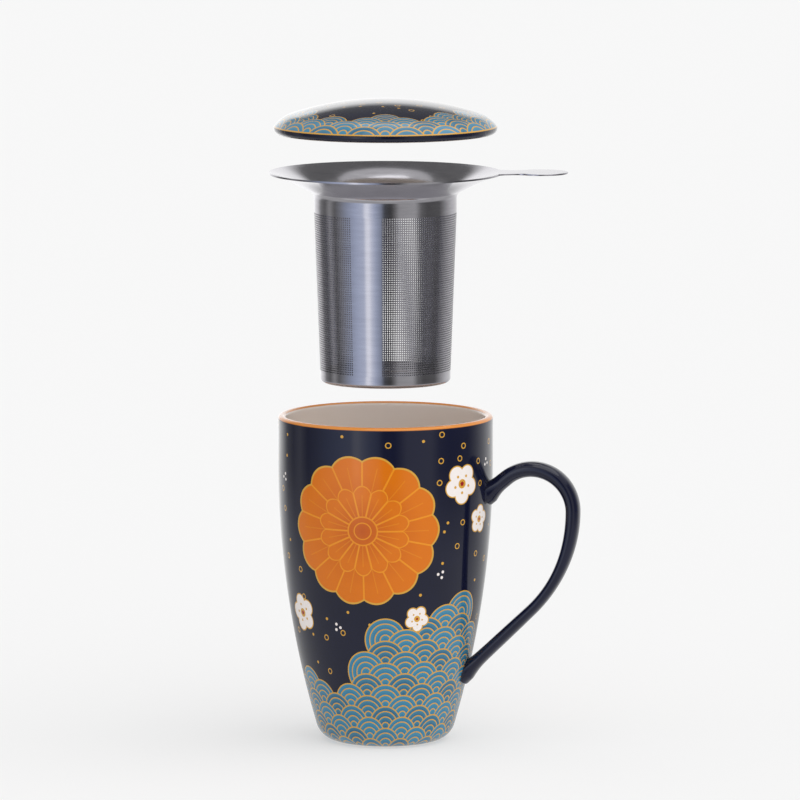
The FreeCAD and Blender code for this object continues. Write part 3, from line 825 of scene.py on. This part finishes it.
def lid_outline():
    crown_centre = (0, LID_HEIGHT - CROWN_BEND)
    shoulder_centre = circle_meeting(
        crown_centre, CROWN_BEND - SHOULDER_BEND, (LID_RADIUS, LID_BAND), SHOULDER_BEND, 1
    )
    meeting = angle_of(crown_centre, shoulder_centre)
    edge_angle = angle_of(shoulder_centre, (LID_RADIUS, LID_BAND))
    ceiling = LID_HEIGHT - CROWN_THICKNESS
    hollow_bend = (HOLLOW_RADIUS**2 + ceiling**2) / (2 * ceiling)
    hollow_centre = (0, ceiling - hollow_bend)
    hollow_angle = angle_of(hollow_centre, (HOLLOW_RADIUS, 0))
    edge_centre = (LID_RADIUS - LID_EDGE_BEND, LID_EDGE_BEND)
    return chain(
        arc(crown_centre, CROWN_BEND, math.pi / 2, meeting, 60),
        arc(shoulder_centre, SHOULDER_BEND, meeting, edge_angle, 20),
        straight((LID_RADIUS, LID_BAND), (LID_RADIUS, LID_EDGE_BEND), 2),
        arc(edge_centre, LID_EDGE_BEND, 0, -math.pi / 2, 12),
        straight((LID_RADIUS - LID_EDGE_BEND, 0), (HOLLOW_RADIUS, 0), 3),
        arc(hollow_centre, hollow_bend, hollow_angle, math.pi / 2, 40),
    )


def make_lid(material):
    bm = bmesh.new()
    lathe(bm, lid_outline(), closed=False, height=LID_BOTTOM)
    piece = new_piece("lid", bm, material, smooth_angle=40)
    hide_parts("lid")
    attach(piece, "lid")


# Motifs, in millimetres on the unrolled surface

# Parts of a blossom, as shares of its size
PETAL_MIDDLE = 0.56
PETAL_SIZE = 0.43
BLOSSOM_EYE = 0.2
STAMEN_INWARD = 0.12
STAMEN_SIZE = 0.07
BLOSSOM_LINE = 0.5

# Parts of the rosette, as shares of its size
OUTER_ROUNDING = 0.075
INNER_SIZE = 0.6
INNER_ROUNDING = 0.09
ROSETTE_EYE = 0.19
ROSETTE_CORE = 0.11
OUTER_VEIN_END = 0.86
INNER_VEIN_END = 0.48
VEIN_STRENGTH = 0.5

# Widths of the rosette's lines
PETAL_LINE = 0.7
VEIN_LINE = 0.35
EDGE_LINE = 0.6
CORE_LINE = 0.5

# The scattered rings and dots
DOT_SPREAD = 1.35
DOT_SIZE = 0.62
RING_SIZE = 1.05
RING_LINE = 0.42
RINGS_UP_TO = 0.42
DOTS_UP_TO = 0.7
SCATTER = 0.75


def polar_fields(across, up):
    far = length_of(across, up)
    angle = up.angle_from(across)
    return far, angle


def folded(angle, count, shift=0.0):
    """The angle within one of a number of equal petals, 0 in its middle."""
    half = math.pi / count
    return (angle + shift).wrapped(-half, half)


def blossom(across, up, place, size, turn):
    """Five round petals. Gives the petals, their outline and the eye."""
    far, angle = polar_fields(across - place[0], up - place[1])
    off = folded(angle, 5, turn)
    along = far * off.cosine() - size * PETAL_MIDDLE
    aside = far * off.sine()
    edge = length_of(along, aside) - size * PETAL_SIZE
    petals = edge.inside()
    eye_edge = far - size * BLOSSOM_EYE
    outline = edge.line(BLOSSOM_LINE).greater(eye_edge.line(BLOSSOM_LINE))
    eye = eye_edge.inside()
    stamens = (length_of(along + size * STAMEN_INWARD, aside) - size * STAMEN_SIZE).inside()
    return petals, outline.greater(stamens), eye


def dot_group(across, up, place, turn):
    """Three small round dots."""
    far, angle = polar_fields(across - place[0], up - place[1])
    off = folded(angle, 3, turn)
    return (length_of(far * off.cosine() - DOT_SPREAD, far * off.sine()) - DOT_SIZE).inside()


def rosette(across, up, place, size):
    """Two rings of petals round a ringed eye. Gives its edge, petal shade and fine lines."""
    far, angle = polar_fields(across - place[0], up - place[1])
    outer = folded(angle, ROSETTE_PETALS)
    inner = folded(angle, ROSETTE_PETALS, math.pi / ROSETTE_PETALS)
    half = math.pi / ROSETTE_PETALS
    outer_edge = far - (size - outer * outer * (size * OUTER_ROUNDING / half**2))
    inner_size = size * INNER_SIZE
    inner_edge = far - (inner_size - inner * inner * (size * INNER_ROUNDING / half**2))
    in_inner = inner_edge.inside()
    eye_edge = far - size * ROSETTE_EYE
    in_eye = eye_edge.inside()
    gap = far * (half - outer.absolute()).sine()
    inner_gap = far * (half - inner.absolute()).sine()
    lines = gap.line(PETAL_LINE).unless(in_inner)
    lines = lines.greater(inner_gap.line(PETAL_LINE) * in_inner)
    vein = (far * outer.sine()).line(VEIN_LINE)
    vein = vein * (far - size * OUTER_VEIN_END).inside().unless(in_inner)
    inner_vein = (far * inner.sine()).line(VEIN_LINE)
    inner_vein = inner_vein * (far - size * INNER_VEIN_END).inside() * in_inner
    lines = lines.greater(vein * VEIN_STRENGTH).greater(inner_vein * VEIN_STRENGTH)
    lines = lines.greater(inner_edge.line(EDGE_LINE)).unless(in_eye)
    lines = lines.greater(eye_edge.line(EDGE_LINE))
    lines = lines.greater((far - size * ROSETTE_CORE).line(CORE_LINE))
    shade = ((far / size).unless(in_inner) + (far / inner_size) * in_inner).clamped()
    return outer_edge, shade, lines


def sprinkle(tree, across, up, spacing, keep=None):
    """Small rings and dots scattered over the surface. keep says by its middle if one is drawn."""
    combine = tree.nodes.new("ShaderNodeCombineXYZ")
    tree.links.new((across / spacing).socket, combine.inputs[0])
    tree.links.new((up / spacing).socket, combine.inputs[1])
    cells = tree.nodes.new("ShaderNodeTexVoronoi")
    cells.voronoi_dimensions = "2D"
    cells.inputs["Scale"].default_value = 1.0
    cells.inputs["Randomness"].default_value = SCATTER
    tree.links.new(combine.outputs[0], cells.inputs["Vector"])
    split = tree.nodes.new("ShaderNodeSeparateColor")
    tree.links.new(cells.outputs["Color"], split.inputs[0])
    far = Field(tree, cells.outputs["Distance"]) * spacing
    kind = Field(tree, split.outputs[0])
    ring = (far - RING_SIZE).line(RING_LINE) * kind.below(RINGS_UP_TO)
    dot = (far - DOT_SIZE).inside() * kind.above(RINGS_UP_TO) * kind.below(DOTS_UP_TO)
    drawn = ring.greater(dot)
    if keep is None:
        return drawn
    middle = tree.nodes.new("ShaderNodeSeparateXYZ")
    tree.links.new(cells.outputs["Position"], middle.inputs[0])
    middle_across = Field(tree, middle.outputs[0]) * spacing
    middle_up = Field(tree, middle.outputs[1]) * spacing
    return drawn * keep(middle_across, middle_up)


# Sizes and places of the motifs, in millimetres round from the side that faces the camera

PATTERN_RADIUS = 42.0
PATTERN_HALF = math.pi * PATTERN_RADIUS / 2
ROSETTE_PETALS = 14
ROSETTE_PLACE = (-9.0, 93.0)
ROSETTE_SIZE = 31.0
ROSETTE_CLEAR = 1.6
ROSETTE_LINE = 0.8
LIP_LINE = 1.15
SPRINKLE_SPACING = 10.5
SCALE_RADIUS = PATTERN_HALF / 7

# Blossoms by place, size and turn, and groups of dots by place and turn
BLOSSOMS = (
    ((33.0, 111.0), 8.5, 0.3), ((45.0, 95.0), 6.0, 1.1),
    ((-43.0, 56.0), 8.0, 0.7), ((14.0, 56.0), 5.5, 0.2),
)
DOT_GROUPS = (
    ((50.0, 118.0), 0.4), ((24.0, 74.0), 1.2),
    ((-50.0, 112.0), 0.9), ((-22.0, 52.0), 0.1),
)

# The lid's pattern is laid out round a circle of this radius
LID_PATTERN_RADIUS = 40.0
LID_SCALE_RADIUS = math.pi * LID_PATTERN_RADIUS / 16
LID_SPRINKLE_SPACING = 8.0
LID_EDGE_LINE = 0.5
LID_LINE_UP = 0.45
LID_BAND_UP = 0.3
LID_BAND_EDGE = 0.2

# Waves of the crests of the scales, each its rate round the piece, its start and its height
MUG_WAVES = ((math.pi / PATTERN_HALF, -1.2, 16.0), (3 * math.pi / PATTERN_HALF, 0.5, 6.0))
MUG_CREST = 38.0
LID_WAVES = ((5 / LID_PATTERN_RADIUS, 0.6, 2.6), (9 / LID_PATTERN_RADIUS, 0.0, 1.2))
LID_CREST = 7.5

# Where the cream glaze and the bare clay begin
CREAM_FROM = 0.62
CREAM_ABOVE = 3.0
CREAM_LIP_SHARE = 0.6
BARE_UNDER = 0.9
BARE_RADIUS = 22.5
BORDER_EDGE = 0.3
HOLLOW_MARGIN = 0.2
HOLLOW_WIDENING = 3.0
LID_BARE_UNDER = 0.25
LID_BARE_EDGE = 0.1

# Clouding of the glazes
CLOUD_SCALE = 40.0
CLOUD_SHIFT = 0.3
NAVY_CLOUD = 1.2
CREAM_CLOUD = 1.5
HANDLE_CLOUD_SCALE = 45.0
HANDLE_CLOUD = 1.4
HANDLE_GRAIN_SCALE = 220.0
HANDLE_GRAIN_SHARE = 0.25
PETAL_CONTRAST = 1.3
PETAL_LINE_STRENGTH = 0.65


def turn_from_camera(x, y):
    """Angle about the axis, 0 on the side that faces the camera and more to its right."""
    front = x * math.sin(CAMERA_TURN) - y * math.cos(CAMERA_TURN)
    right = x * math.cos(CAMERA_TURN) + y * math.sin(CAMERA_TURN)
    return right.angle_from(front)


def pattern_fields(tree):
    """Round and up on the side of the mug, the same on the front and the back."""
    x, y, z = place_fields(tree)
    around = (turn_from_camera(x, y) * PATTERN_RADIUS).wrapped(-PATTERN_HALF, PATTERN_HALF)
    return x, y, z, around


def crest(around, waves, middle):
    """A wavy line about a middle height."""
    (rate, start, height), (second_rate, second_start, second_height) = waves
    main = (around * rate + start).cosine() * height
    ripple = (around * second_rate + second_start).cosine() * second_height
    return main + ripple + middle


def mug_hill(around):
    """Height of the crest of the mug's scales."""
    return crest(around, MUG_WAVES, MUG_CREST)


def open_sky(around, up):
    """1 where a whole ring has room: off the rosette, over the scales and away from the join."""
    off = length_of(around - ROSETTE_PLACE[0], up - ROSETTE_PLACE[1])
    clear = (ROSETTE_SIZE + ROSETTE_CLEAR - off).below(0.0)
    clear = clear * (around.absolute() - (PATTERN_HALF - ROSETTE_CLEAR)).below(0.0)
    clear = clear * (up - (MUG_HEIGHT / MM - LIP_LINE - ROSETTE_CLEAR)).below(0.0)
    return clear * (mug_hill(around) + SCALE_RADIUS - up).below(0.0)


def glaze_body(tree, shader, colour, line_mask, bare=None):
    """Glossy glaze over a colour, with raised fine lines and faint waviness."""
    tree.links.new(colour, shader.inputs["Base Color"])
    glossy_glaze(shader)
    waviness = noise_field(tree, WAVINESS_SCALE, 1.0)
    height = line_mask * LINE_RELIEF + waviness * WAVINESS_SHARE
    add_bump(tree, shader, height, GLAZE_BUMP)
    if bare is not None:
        roughness = bare * BARE_ROUGHNESS + GLAZE_ROUGHNESS
        tree.links.new(roughness.socket, shader.inputs["Roughness"])
        tree.links.new((1.0 - bare).socket, shader.inputs["Coat Weight"])


def clouded(tree, cloud, first, second, contrast):
    """A glaze that drifts a little from one colour to another."""
    return colour_mix(tree, first, second, (cloud * contrast - CLOUD_SHIFT).clamped())


def mug_ground(tree, navy, around, z):
    """The outside of the mug up to its lip. Gives its colour and its raised lines."""
    edge, shade, fine = rosette(around, z, ROSETTE_PLACE, ROSETTE_SIZE)
    sky = sprinkle(tree, around, z, SPRINKLE_SPACING, open_sky)
    ground = colour_mix(tree, navy, GOLD, sky)
    petal = colour_mix(tree, DEEP_ORANGE, ORANGE, (shade * PETAL_CONTRAST).clamped())
    petal = colour_mix(tree, petal, PALE_ORANGE, fine * PETAL_LINE_STRENGTH)
    inside_rosette = edge.inside()
    ground = colour_mix(tree, ground, petal, inside_rosette)
    rosette_line = edge.line(ROSETTE_LINE)
    ground = colour_mix(tree, ground, GOLD, rosette_line)
    lines = rosette_line.greater(fine * inside_rosette).greater(sky)
    for place, turn in DOT_GROUPS:
        dots = dot_group(around, z, place, turn)
        ground = colour_mix(tree, ground, WHITE, dots)
    far, covered, mark = scale_hills(around, z, SCALE_RADIUS, mug_hill)
    ground, scale_lines = scale_colours(tree, ground, far, covered, mark)
    lines = lines.unless(covered).greater(scale_lines)
    for place, size, turn in BLOSSOMS:
        petals, outline, eye = blossom(around, z, place, size, turn)
        ground = colour_mix(tree, ground, WHITE, petals)
        ground = colour_mix(tree, ground, RED, eye)
        ground = colour_mix(tree, ground, GOLD, outline)
        lines = lines.unless(petals).greater(outline)
    return ground, lines


def inside_mug(far_out, z):
    """1 on the inner part of the wall and on the floor."""
    drop = (STRAIGHT_FROM / MM - z).greater(0.0)
    side = ((SIDE_BEND / MM) ** 2 - drop * drop).root() + SIDE_CENTRE[0] / MM
    within = (far_out - (side - MUG_WALL / MM * CREAM_FROM)).below(0.0)
    return within * (CREAM_ABOVE - z).below(0.0)


def mug_material():
    material, tree, shader = new_material("mug_glaze")
    x, y, z, around = pattern_fields(tree)
    cloud = noise_field(tree, CLOUD_SCALE)
    navy = clouded(tree, cloud, NAVY, LIGHT_NAVY, NAVY_CLOUD)
    ground, lines = mug_ground(tree, navy, around, z)
    lip_line = (MUG_HEIGHT / MM - LIP_LINE - z).inside(BORDER_EDGE)
    ground = colour_mix(tree, ground, LIP_GOLD, lip_line)
    far_out = length_of(x, y)
    is_inside = inside_mug(far_out, z)
    cream = clouded(tree, cloud, CREAM, PALE_CREAM, CREAM_CLOUD)
    inner_line = (MUG_HEIGHT / MM - LIP_LINE * CREAM_LIP_SHARE - z).inside(BORDER_EDGE)
    cream = colour_mix(tree, cream, LIP_GOLD, inner_line)
    colour = colour_mix(tree, ground, cream, is_inside)
    bare = (z - BARE_UNDER).inside(BORDER_EDGE) * (far_out - BARE_RADIUS).below(0.0)
    colour = colour_mix(tree, colour, BISQUE, bare)
    glaze_body(tree, shader, colour, lines.unless(is_inside), bare)
    return material


def handle_material():
    material, tree, shader = new_material("handle_glaze")
    cloud = noise_field(tree, HANDLE_CLOUD_SCALE)
    colour = clouded(tree, cloud, NAVY, LIGHT_NAVY, HANDLE_CLOUD)
    grain = noise_field(tree, HANDLE_GRAIN_SCALE) * HANDLE_GRAIN_SHARE
    glaze_body(tree, shader, colour, grain)
    return material


def lid_hill(around):
    """How far in from the edge the lid's scales reach."""
    return crest(around, LID_WAVES, LID_CREST)


def lid_material():
    material, tree, shader = new_material("lid_glaze")
    x, y, z = place_fields(tree)
    far_out = length_of(x, y)
    around = turn_from_camera(x, y) * LID_PATTERN_RADIUS
    inward = LID_RADIUS / MM - far_out
    cloud = noise_field(tree, CLOUD_SCALE)
    navy = clouded(tree, cloud, NAVY, LIGHT_NAVY, NAVY_CLOUD)
    dots = sprinkle(tree, x, y, LID_SPRINKLE_SPACING)
    colour = colour_mix(tree, navy, GOLD, dots)
    far, covered, mark = scale_hills(around, inward, LID_SCALE_RADIUS, lid_hill)
    colour, lines = scale_colours(tree, colour, far, covered, mark)
    above_band = z - (LID_BOTTOM + LID_BAND) / MM
    colour = colour_mix(tree, colour, NAVY, (above_band - LID_BAND_UP).inside(LID_BAND_EDGE))
    edge_line = (above_band - LID_LINE_UP).line(LID_EDGE_LINE)
    colour = colour_mix(tree, colour, GOLD, edge_line)
    lines = lines.greater(dots.unless(covered)).greater(edge_line)
    above_foot = z - LID_BOTTOM / MM
    hollow = (far_out - HOLLOW_RADIUS / MM - HOLLOW_MARGIN).below(0.0)
    hollow = hollow * (above_foot - under_lid(far_out)).below(0.0)
    cream = clouded(tree, cloud, CREAM, PALE_CREAM, CREAM_CLOUD)
    colour = colour_mix(tree, colour, cream, hollow)
    bare = (above_foot - LID_BARE_UNDER).inside(LID_BARE_EDGE)
    colour = colour_mix(tree, colour, BISQUE, bare)
    glaze_body(tree, shader, colour, lines.unless(hollow), bare)
    return material


def under_lid(far_out):
    """Height halfway through the lid's shell, over its foot."""
    ceiling = (LID_HEIGHT - CROWN_THICKNESS / 2) / MM
    half = HOLLOW_RADIUS / MM + HOLLOW_WIDENING
    return (1.0 - far_out * far_out / half**2) * ceiling


# Scales of the steel's grain along x, y and z, and the least roughness of each node's steel
COLLAR_GRAIN = (160, 160, 900)
TUBE_GRAIN = (90, 90, 700)
COLLAR_ROUGHNESS = 0.1
WALL_ROUGHNESS = 0.07
BASE_ROUGHNESS = 0.09


def steel_material(name, stretch, roughness):
    """Polished steel with a fine brushed grain that runs round the piece."""
    material, tree, shader = new_material(name)
    grain = noise_field(tree, 1.0, stretch=stretch)
    tree.links.new(colour_mix(tree, STEEL_DARK, STEEL_LIGHT, grain), shader.inputs["Base Color"])
    shader.inputs["Metallic"].default_value = 1.0
    tree.links.new((grain * GRAIN_ROUGHNESS + roughness).socket, shader.inputs["Roughness"])
    add_bump(tree, shader, grain, STEEL_GRAIN)
    return material


# Stage

FLOOR_HALF = 20.0
PHOTO_CENTRE_UP = 141.5 * MM
CAMERA_RISE = math.radians(7.35)
CAMERA_DISTANCE = 2.9
CAMERA_LENS = 316.0
CAMERA_ASIDE = 6.0 * MM
CAMERA_SENSOR = 36.0
CAMERA_SIGHT = 200.0
PALE = srgb(247, 247, 247)


def direction(turn, rise):
    """Unit vector to a place turned round from the mug's front and raised from the level."""
    level = math.cos(rise)
    return Vector((math.sin(turn) * level, -math.cos(turn) * level, math.sin(rise)))


def make_camera():
    data = bpy.data.cameras.new("camera")
    data.lens = CAMERA_LENS
    data.sensor_width = CAMERA_SENSOR
    data.clip_end = CAMERA_SIGHT
    camera = bpy.data.objects.new("camera", data)
    bpy.context.scene.collection.objects.link(camera)
    bpy.context.scene.camera = camera
    back = direction(CAMERA_TURN, CAMERA_RISE)
    right = Vector((math.cos(CAMERA_TURN), math.sin(CAMERA_TURN), 0))
    target = Vector((0, 0, PHOTO_CENTRE_UP)) + right * CAMERA_ASIDE
    camera.location = target + back * CAMERA_DISTANCE
    camera.rotation_euler = back.to_track_quat("Z", "Y").to_euler()


FLOOR_ALBEDO = 0.45
FLOOR_GLOW = 0.46


def level_square(middle, half, height):
    bm = bmesh.new()
    bm.faces.new([
        bm.verts.new((middle[0] + x * half, middle[1] + y * half, height))
        for x, y in ((-1, -1), (1, -1), (1, 1), (-1, 1))
    ])
    return bm


def glow_material(name):
    """A material that only glows. Gives its node tree and its glowing node as well."""
    material = bpy.data.materials.new(name)
    material.use_nodes = True
    tree = material.node_tree
    tree.nodes.clear()
    glow = tree.nodes.new("ShaderNodeEmission")
    output = tree.nodes.new("ShaderNodeOutputMaterial")
    tree.links.new(glow.outputs[0], output.inputs[0])
    return material, tree, glow


def show_in_gloss_alone(piece):
    piece.visible_camera = False
    piece.visible_diffuse = False
    piece.visible_shadow = False


def make_floor():
    material, _, shader = new_material("floor")
    shader.inputs["Base Color"].default_value = (FLOOR_ALBEDO, FLOOR_ALBEDO, FLOOR_ALBEDO, 1)
    shader.inputs["Emission Color"].default_value = (1, 1, 1, 1)
    shader.inputs["Emission Strength"].default_value = FLOOR_GLOW
    shader.inputs["Roughness"].default_value = 0.9
    shader.inputs["Specular IOR Level"].default_value = 0.0
    bm = level_square((0, 0), FLOOR_HALF, 0)
    floor = link_mesh("floor", filled_mesh("floor", bm), material)
    floor.visible_glossy = False


WORLD_LEVEL = 0.7
GLOSS_LEVEL = 0.58


def make_world():
    """Even pale surroundings, a little dimmer in gloss and plain pale to the camera."""
    world = bpy.data.worlds.new("studio")
    bpy.context.scene.world = world
    world.use_nodes = True
    tree = world.node_tree
    tree.nodes.clear()
    output = tree.nodes.new("ShaderNodeOutputWorld")
    path = tree.nodes.new("ShaderNodeLightPath")
    gloss = Field(tree, path.outputs["Is Glossy Ray"])
    level = gloss * (GLOSS_LEVEL - WORLD_LEVEL) + WORLD_LEVEL
    lights = tree.nodes.new("ShaderNodeBackground")
    lights.inputs[0].default_value = (1, 1, 1, 1)
    tree.links.new(level.socket, lights.inputs[1])
    plain = tree.nodes.new("ShaderNodeBackground")
    plain.inputs[0].default_value = (*PALE, 1)
    mix = tree.nodes.new("ShaderNodeMixShader")
    tree.links.new(path.outputs["Is Camera Ray"], mix.inputs[0])
    tree.links.new(lights.outputs[0], mix.inputs[1])
    tree.links.new(plain.outputs[0], mix.inputs[2])
    tree.links.new(mix.outputs[0], output.inputs[0])


# Tall panels standing round the object, pale and dark, seen only in its gloss. They fade to an
# even level low down and high up, between heights in millimetres, and high up at the back.
PANEL_DISTANCE = 0.5
PANEL_LOW = -0.45
PANEL_HIGH = 0.75
BELOW_LEVEL = 0.46
BELOW_FROM = 60.0
BELOW_FULL = -60.0
ABOVE_LEVEL = 0.5
ABOVE_BACK_LEVEL = 0.14
BACK_FROM = math.radians(146)
BACK_FULL = math.radians(164)
ABOVE_FROM = 400.0
ABOVE_FULL = 470.0

# Brightness and blueness of the panels, by degrees to the right of the camera
PANELS = (
    (-180, 1.1, 0.0), (-163, 1.2, 0.0), (-138, 0.76, 0.0), (-126, 0.24, 0.0), (-112, 0.14, 0.0),
    (-100, 0.34, 0.0), (-88, 0.14, 0.0), (-76, 0.26, 0.4), (-62, 0.42, 1.0), (-48, 0.58, 1.0),
    (-36, 0.68, 0.8), (-32, 1.05, 0.3), (-28, 1.1, 0.3), (-23, 0.8, 0.6), (-16, 0.55, 1.0),
    (-7, 0.34, 1.0), (-2, 0.09, 0.5), (9, 0.06, 0.0), (15, 0.18, 0.0), (22, 0.4, 0.0),
    (48, 0.44, 0.0), (58, 0.16, 0.0), (70, 0.1, 0.0), (96, 0.12, 0.0), (108, 0.3, 0.0),
    (119, 0.48, 0.0), (133, 0.66, 0.0), (154, 0.76, 0.0), (180, 1.1, 0.0),
)
PANEL_BLUE = (0.86, 0.97, 1.24)
PANEL_STEPS = 180


def make_panels():
    material, tree, glow = glow_material("panels")
    x, y, z = place_fields(tree)
    angle = turn_from_camera(x, y)
    turn = angle * (0.5 / math.pi) + 0.5
    ramp = tree.nodes.new("ShaderNodeValToRGB")
    tree.links.new(turn.socket, ramp.inputs[0])
    stops = ramp.color_ramp.elements
    for degrees, level, blue in PANELS:
        if abs(degrees) == 180:
            stop = stops[0 if degrees < 0 else len(stops) - 1]
        else:
            stop = stops.new(degrees / 360 + 0.5)
        stop.color = (*(level * (1 + (tint - 1) * blue) for tint in PANEL_BLUE), 1)
    below = ((BELOW_FROM - z) / (BELOW_FROM - BELOW_FULL)).clamped()
    above = ((z - ABOVE_FROM) / (ABOVE_FULL - ABOVE_FROM)).clamped()
    colour = colour_mix(tree, ramp.outputs[0], (BELOW_LEVEL,) * 3, below)
    back = ((angle.absolute() - BACK_FROM) / (BACK_FULL - BACK_FROM)).clamped()
    over = colour_mix(tree, (ABOVE_LEVEL,) * 3, (ABOVE_BACK_LEVEL,) * 3, back)
    colour = colour_mix(tree, colour, over, above)
    tree.links.new(colour, glow.inputs[0])
    bm = bmesh.new()
    side = [(PANEL_DISTANCE, PANEL_LOW), (PANEL_DISTANCE, PANEL_HIGH)]
    lathe(bm, side, steps=PANEL_STEPS, closed=False)
    panels = link_mesh("panels", filled_mesh("panels", bm), material)
    show_in_gloss_alone(panels)


TOP_BOX_HALF = 0.22
TOP_BOX_UP = 1.3
TOP_BOX_BACK = 0.45
TOP_BOX_LEVEL = 1.6


def make_top_box():
    """Soft box overhead, seen only in the gloss."""
    material, _, glow = glow_material("top_box")
    glow.inputs[1].default_value = TOP_BOX_LEVEL
    middle = (-TOP_BOX_BACK * math.sin(CAMERA_TURN), TOP_BOX_BACK * math.cos(CAMERA_TURN))
    bm = level_square(middle, TOP_BOX_HALF, TOP_BOX_UP)
    box = link_mesh("top_box", filled_mesh("top_box", bm), material)
    show_in_gloss_alone(box)


KEY_STRENGTH = 1.5
KEY_SPREAD = math.radians(100)
KEY_TURN = math.radians(55)
KEY_RISE = math.radians(48)


def make_key_light():
    """Wide soft light from the upper right of the camera."""
    data = bpy.data.lights.new("key", "SUN")
    data.energy = KEY_STRENGTH
    data.angle = KEY_SPREAD
    lamp = bpy.data.objects.new("key", data)
    back = direction(CAMERA_TURN + KEY_TURN, KEY_RISE)
    lamp.rotation_euler = back.to_track_quat("Z", "Y").to_euler()
    bpy.context.scene.collection.objects.link(lamp)


def main():
    make_mug(mug_material())
    make_handle(handle_material())
    make_collar(steel_material("collar_steel", COLLAR_GRAIN, COLLAR_ROUGHNESS))
    make_wall(steel_material("wall_steel", TUBE_GRAIN, WALL_ROUGHNESS))
    make_base(steel_material("base_steel", TUBE_GRAIN, BASE_ROUGHNESS))
    make_lid(lid_material())
    make_floor()
    make_world()
    make_panels()
    make_top_box()
    make_key_light()
    make_camera()
    bpy.context.scene.view_settings.view_transform = "Standard"


main()
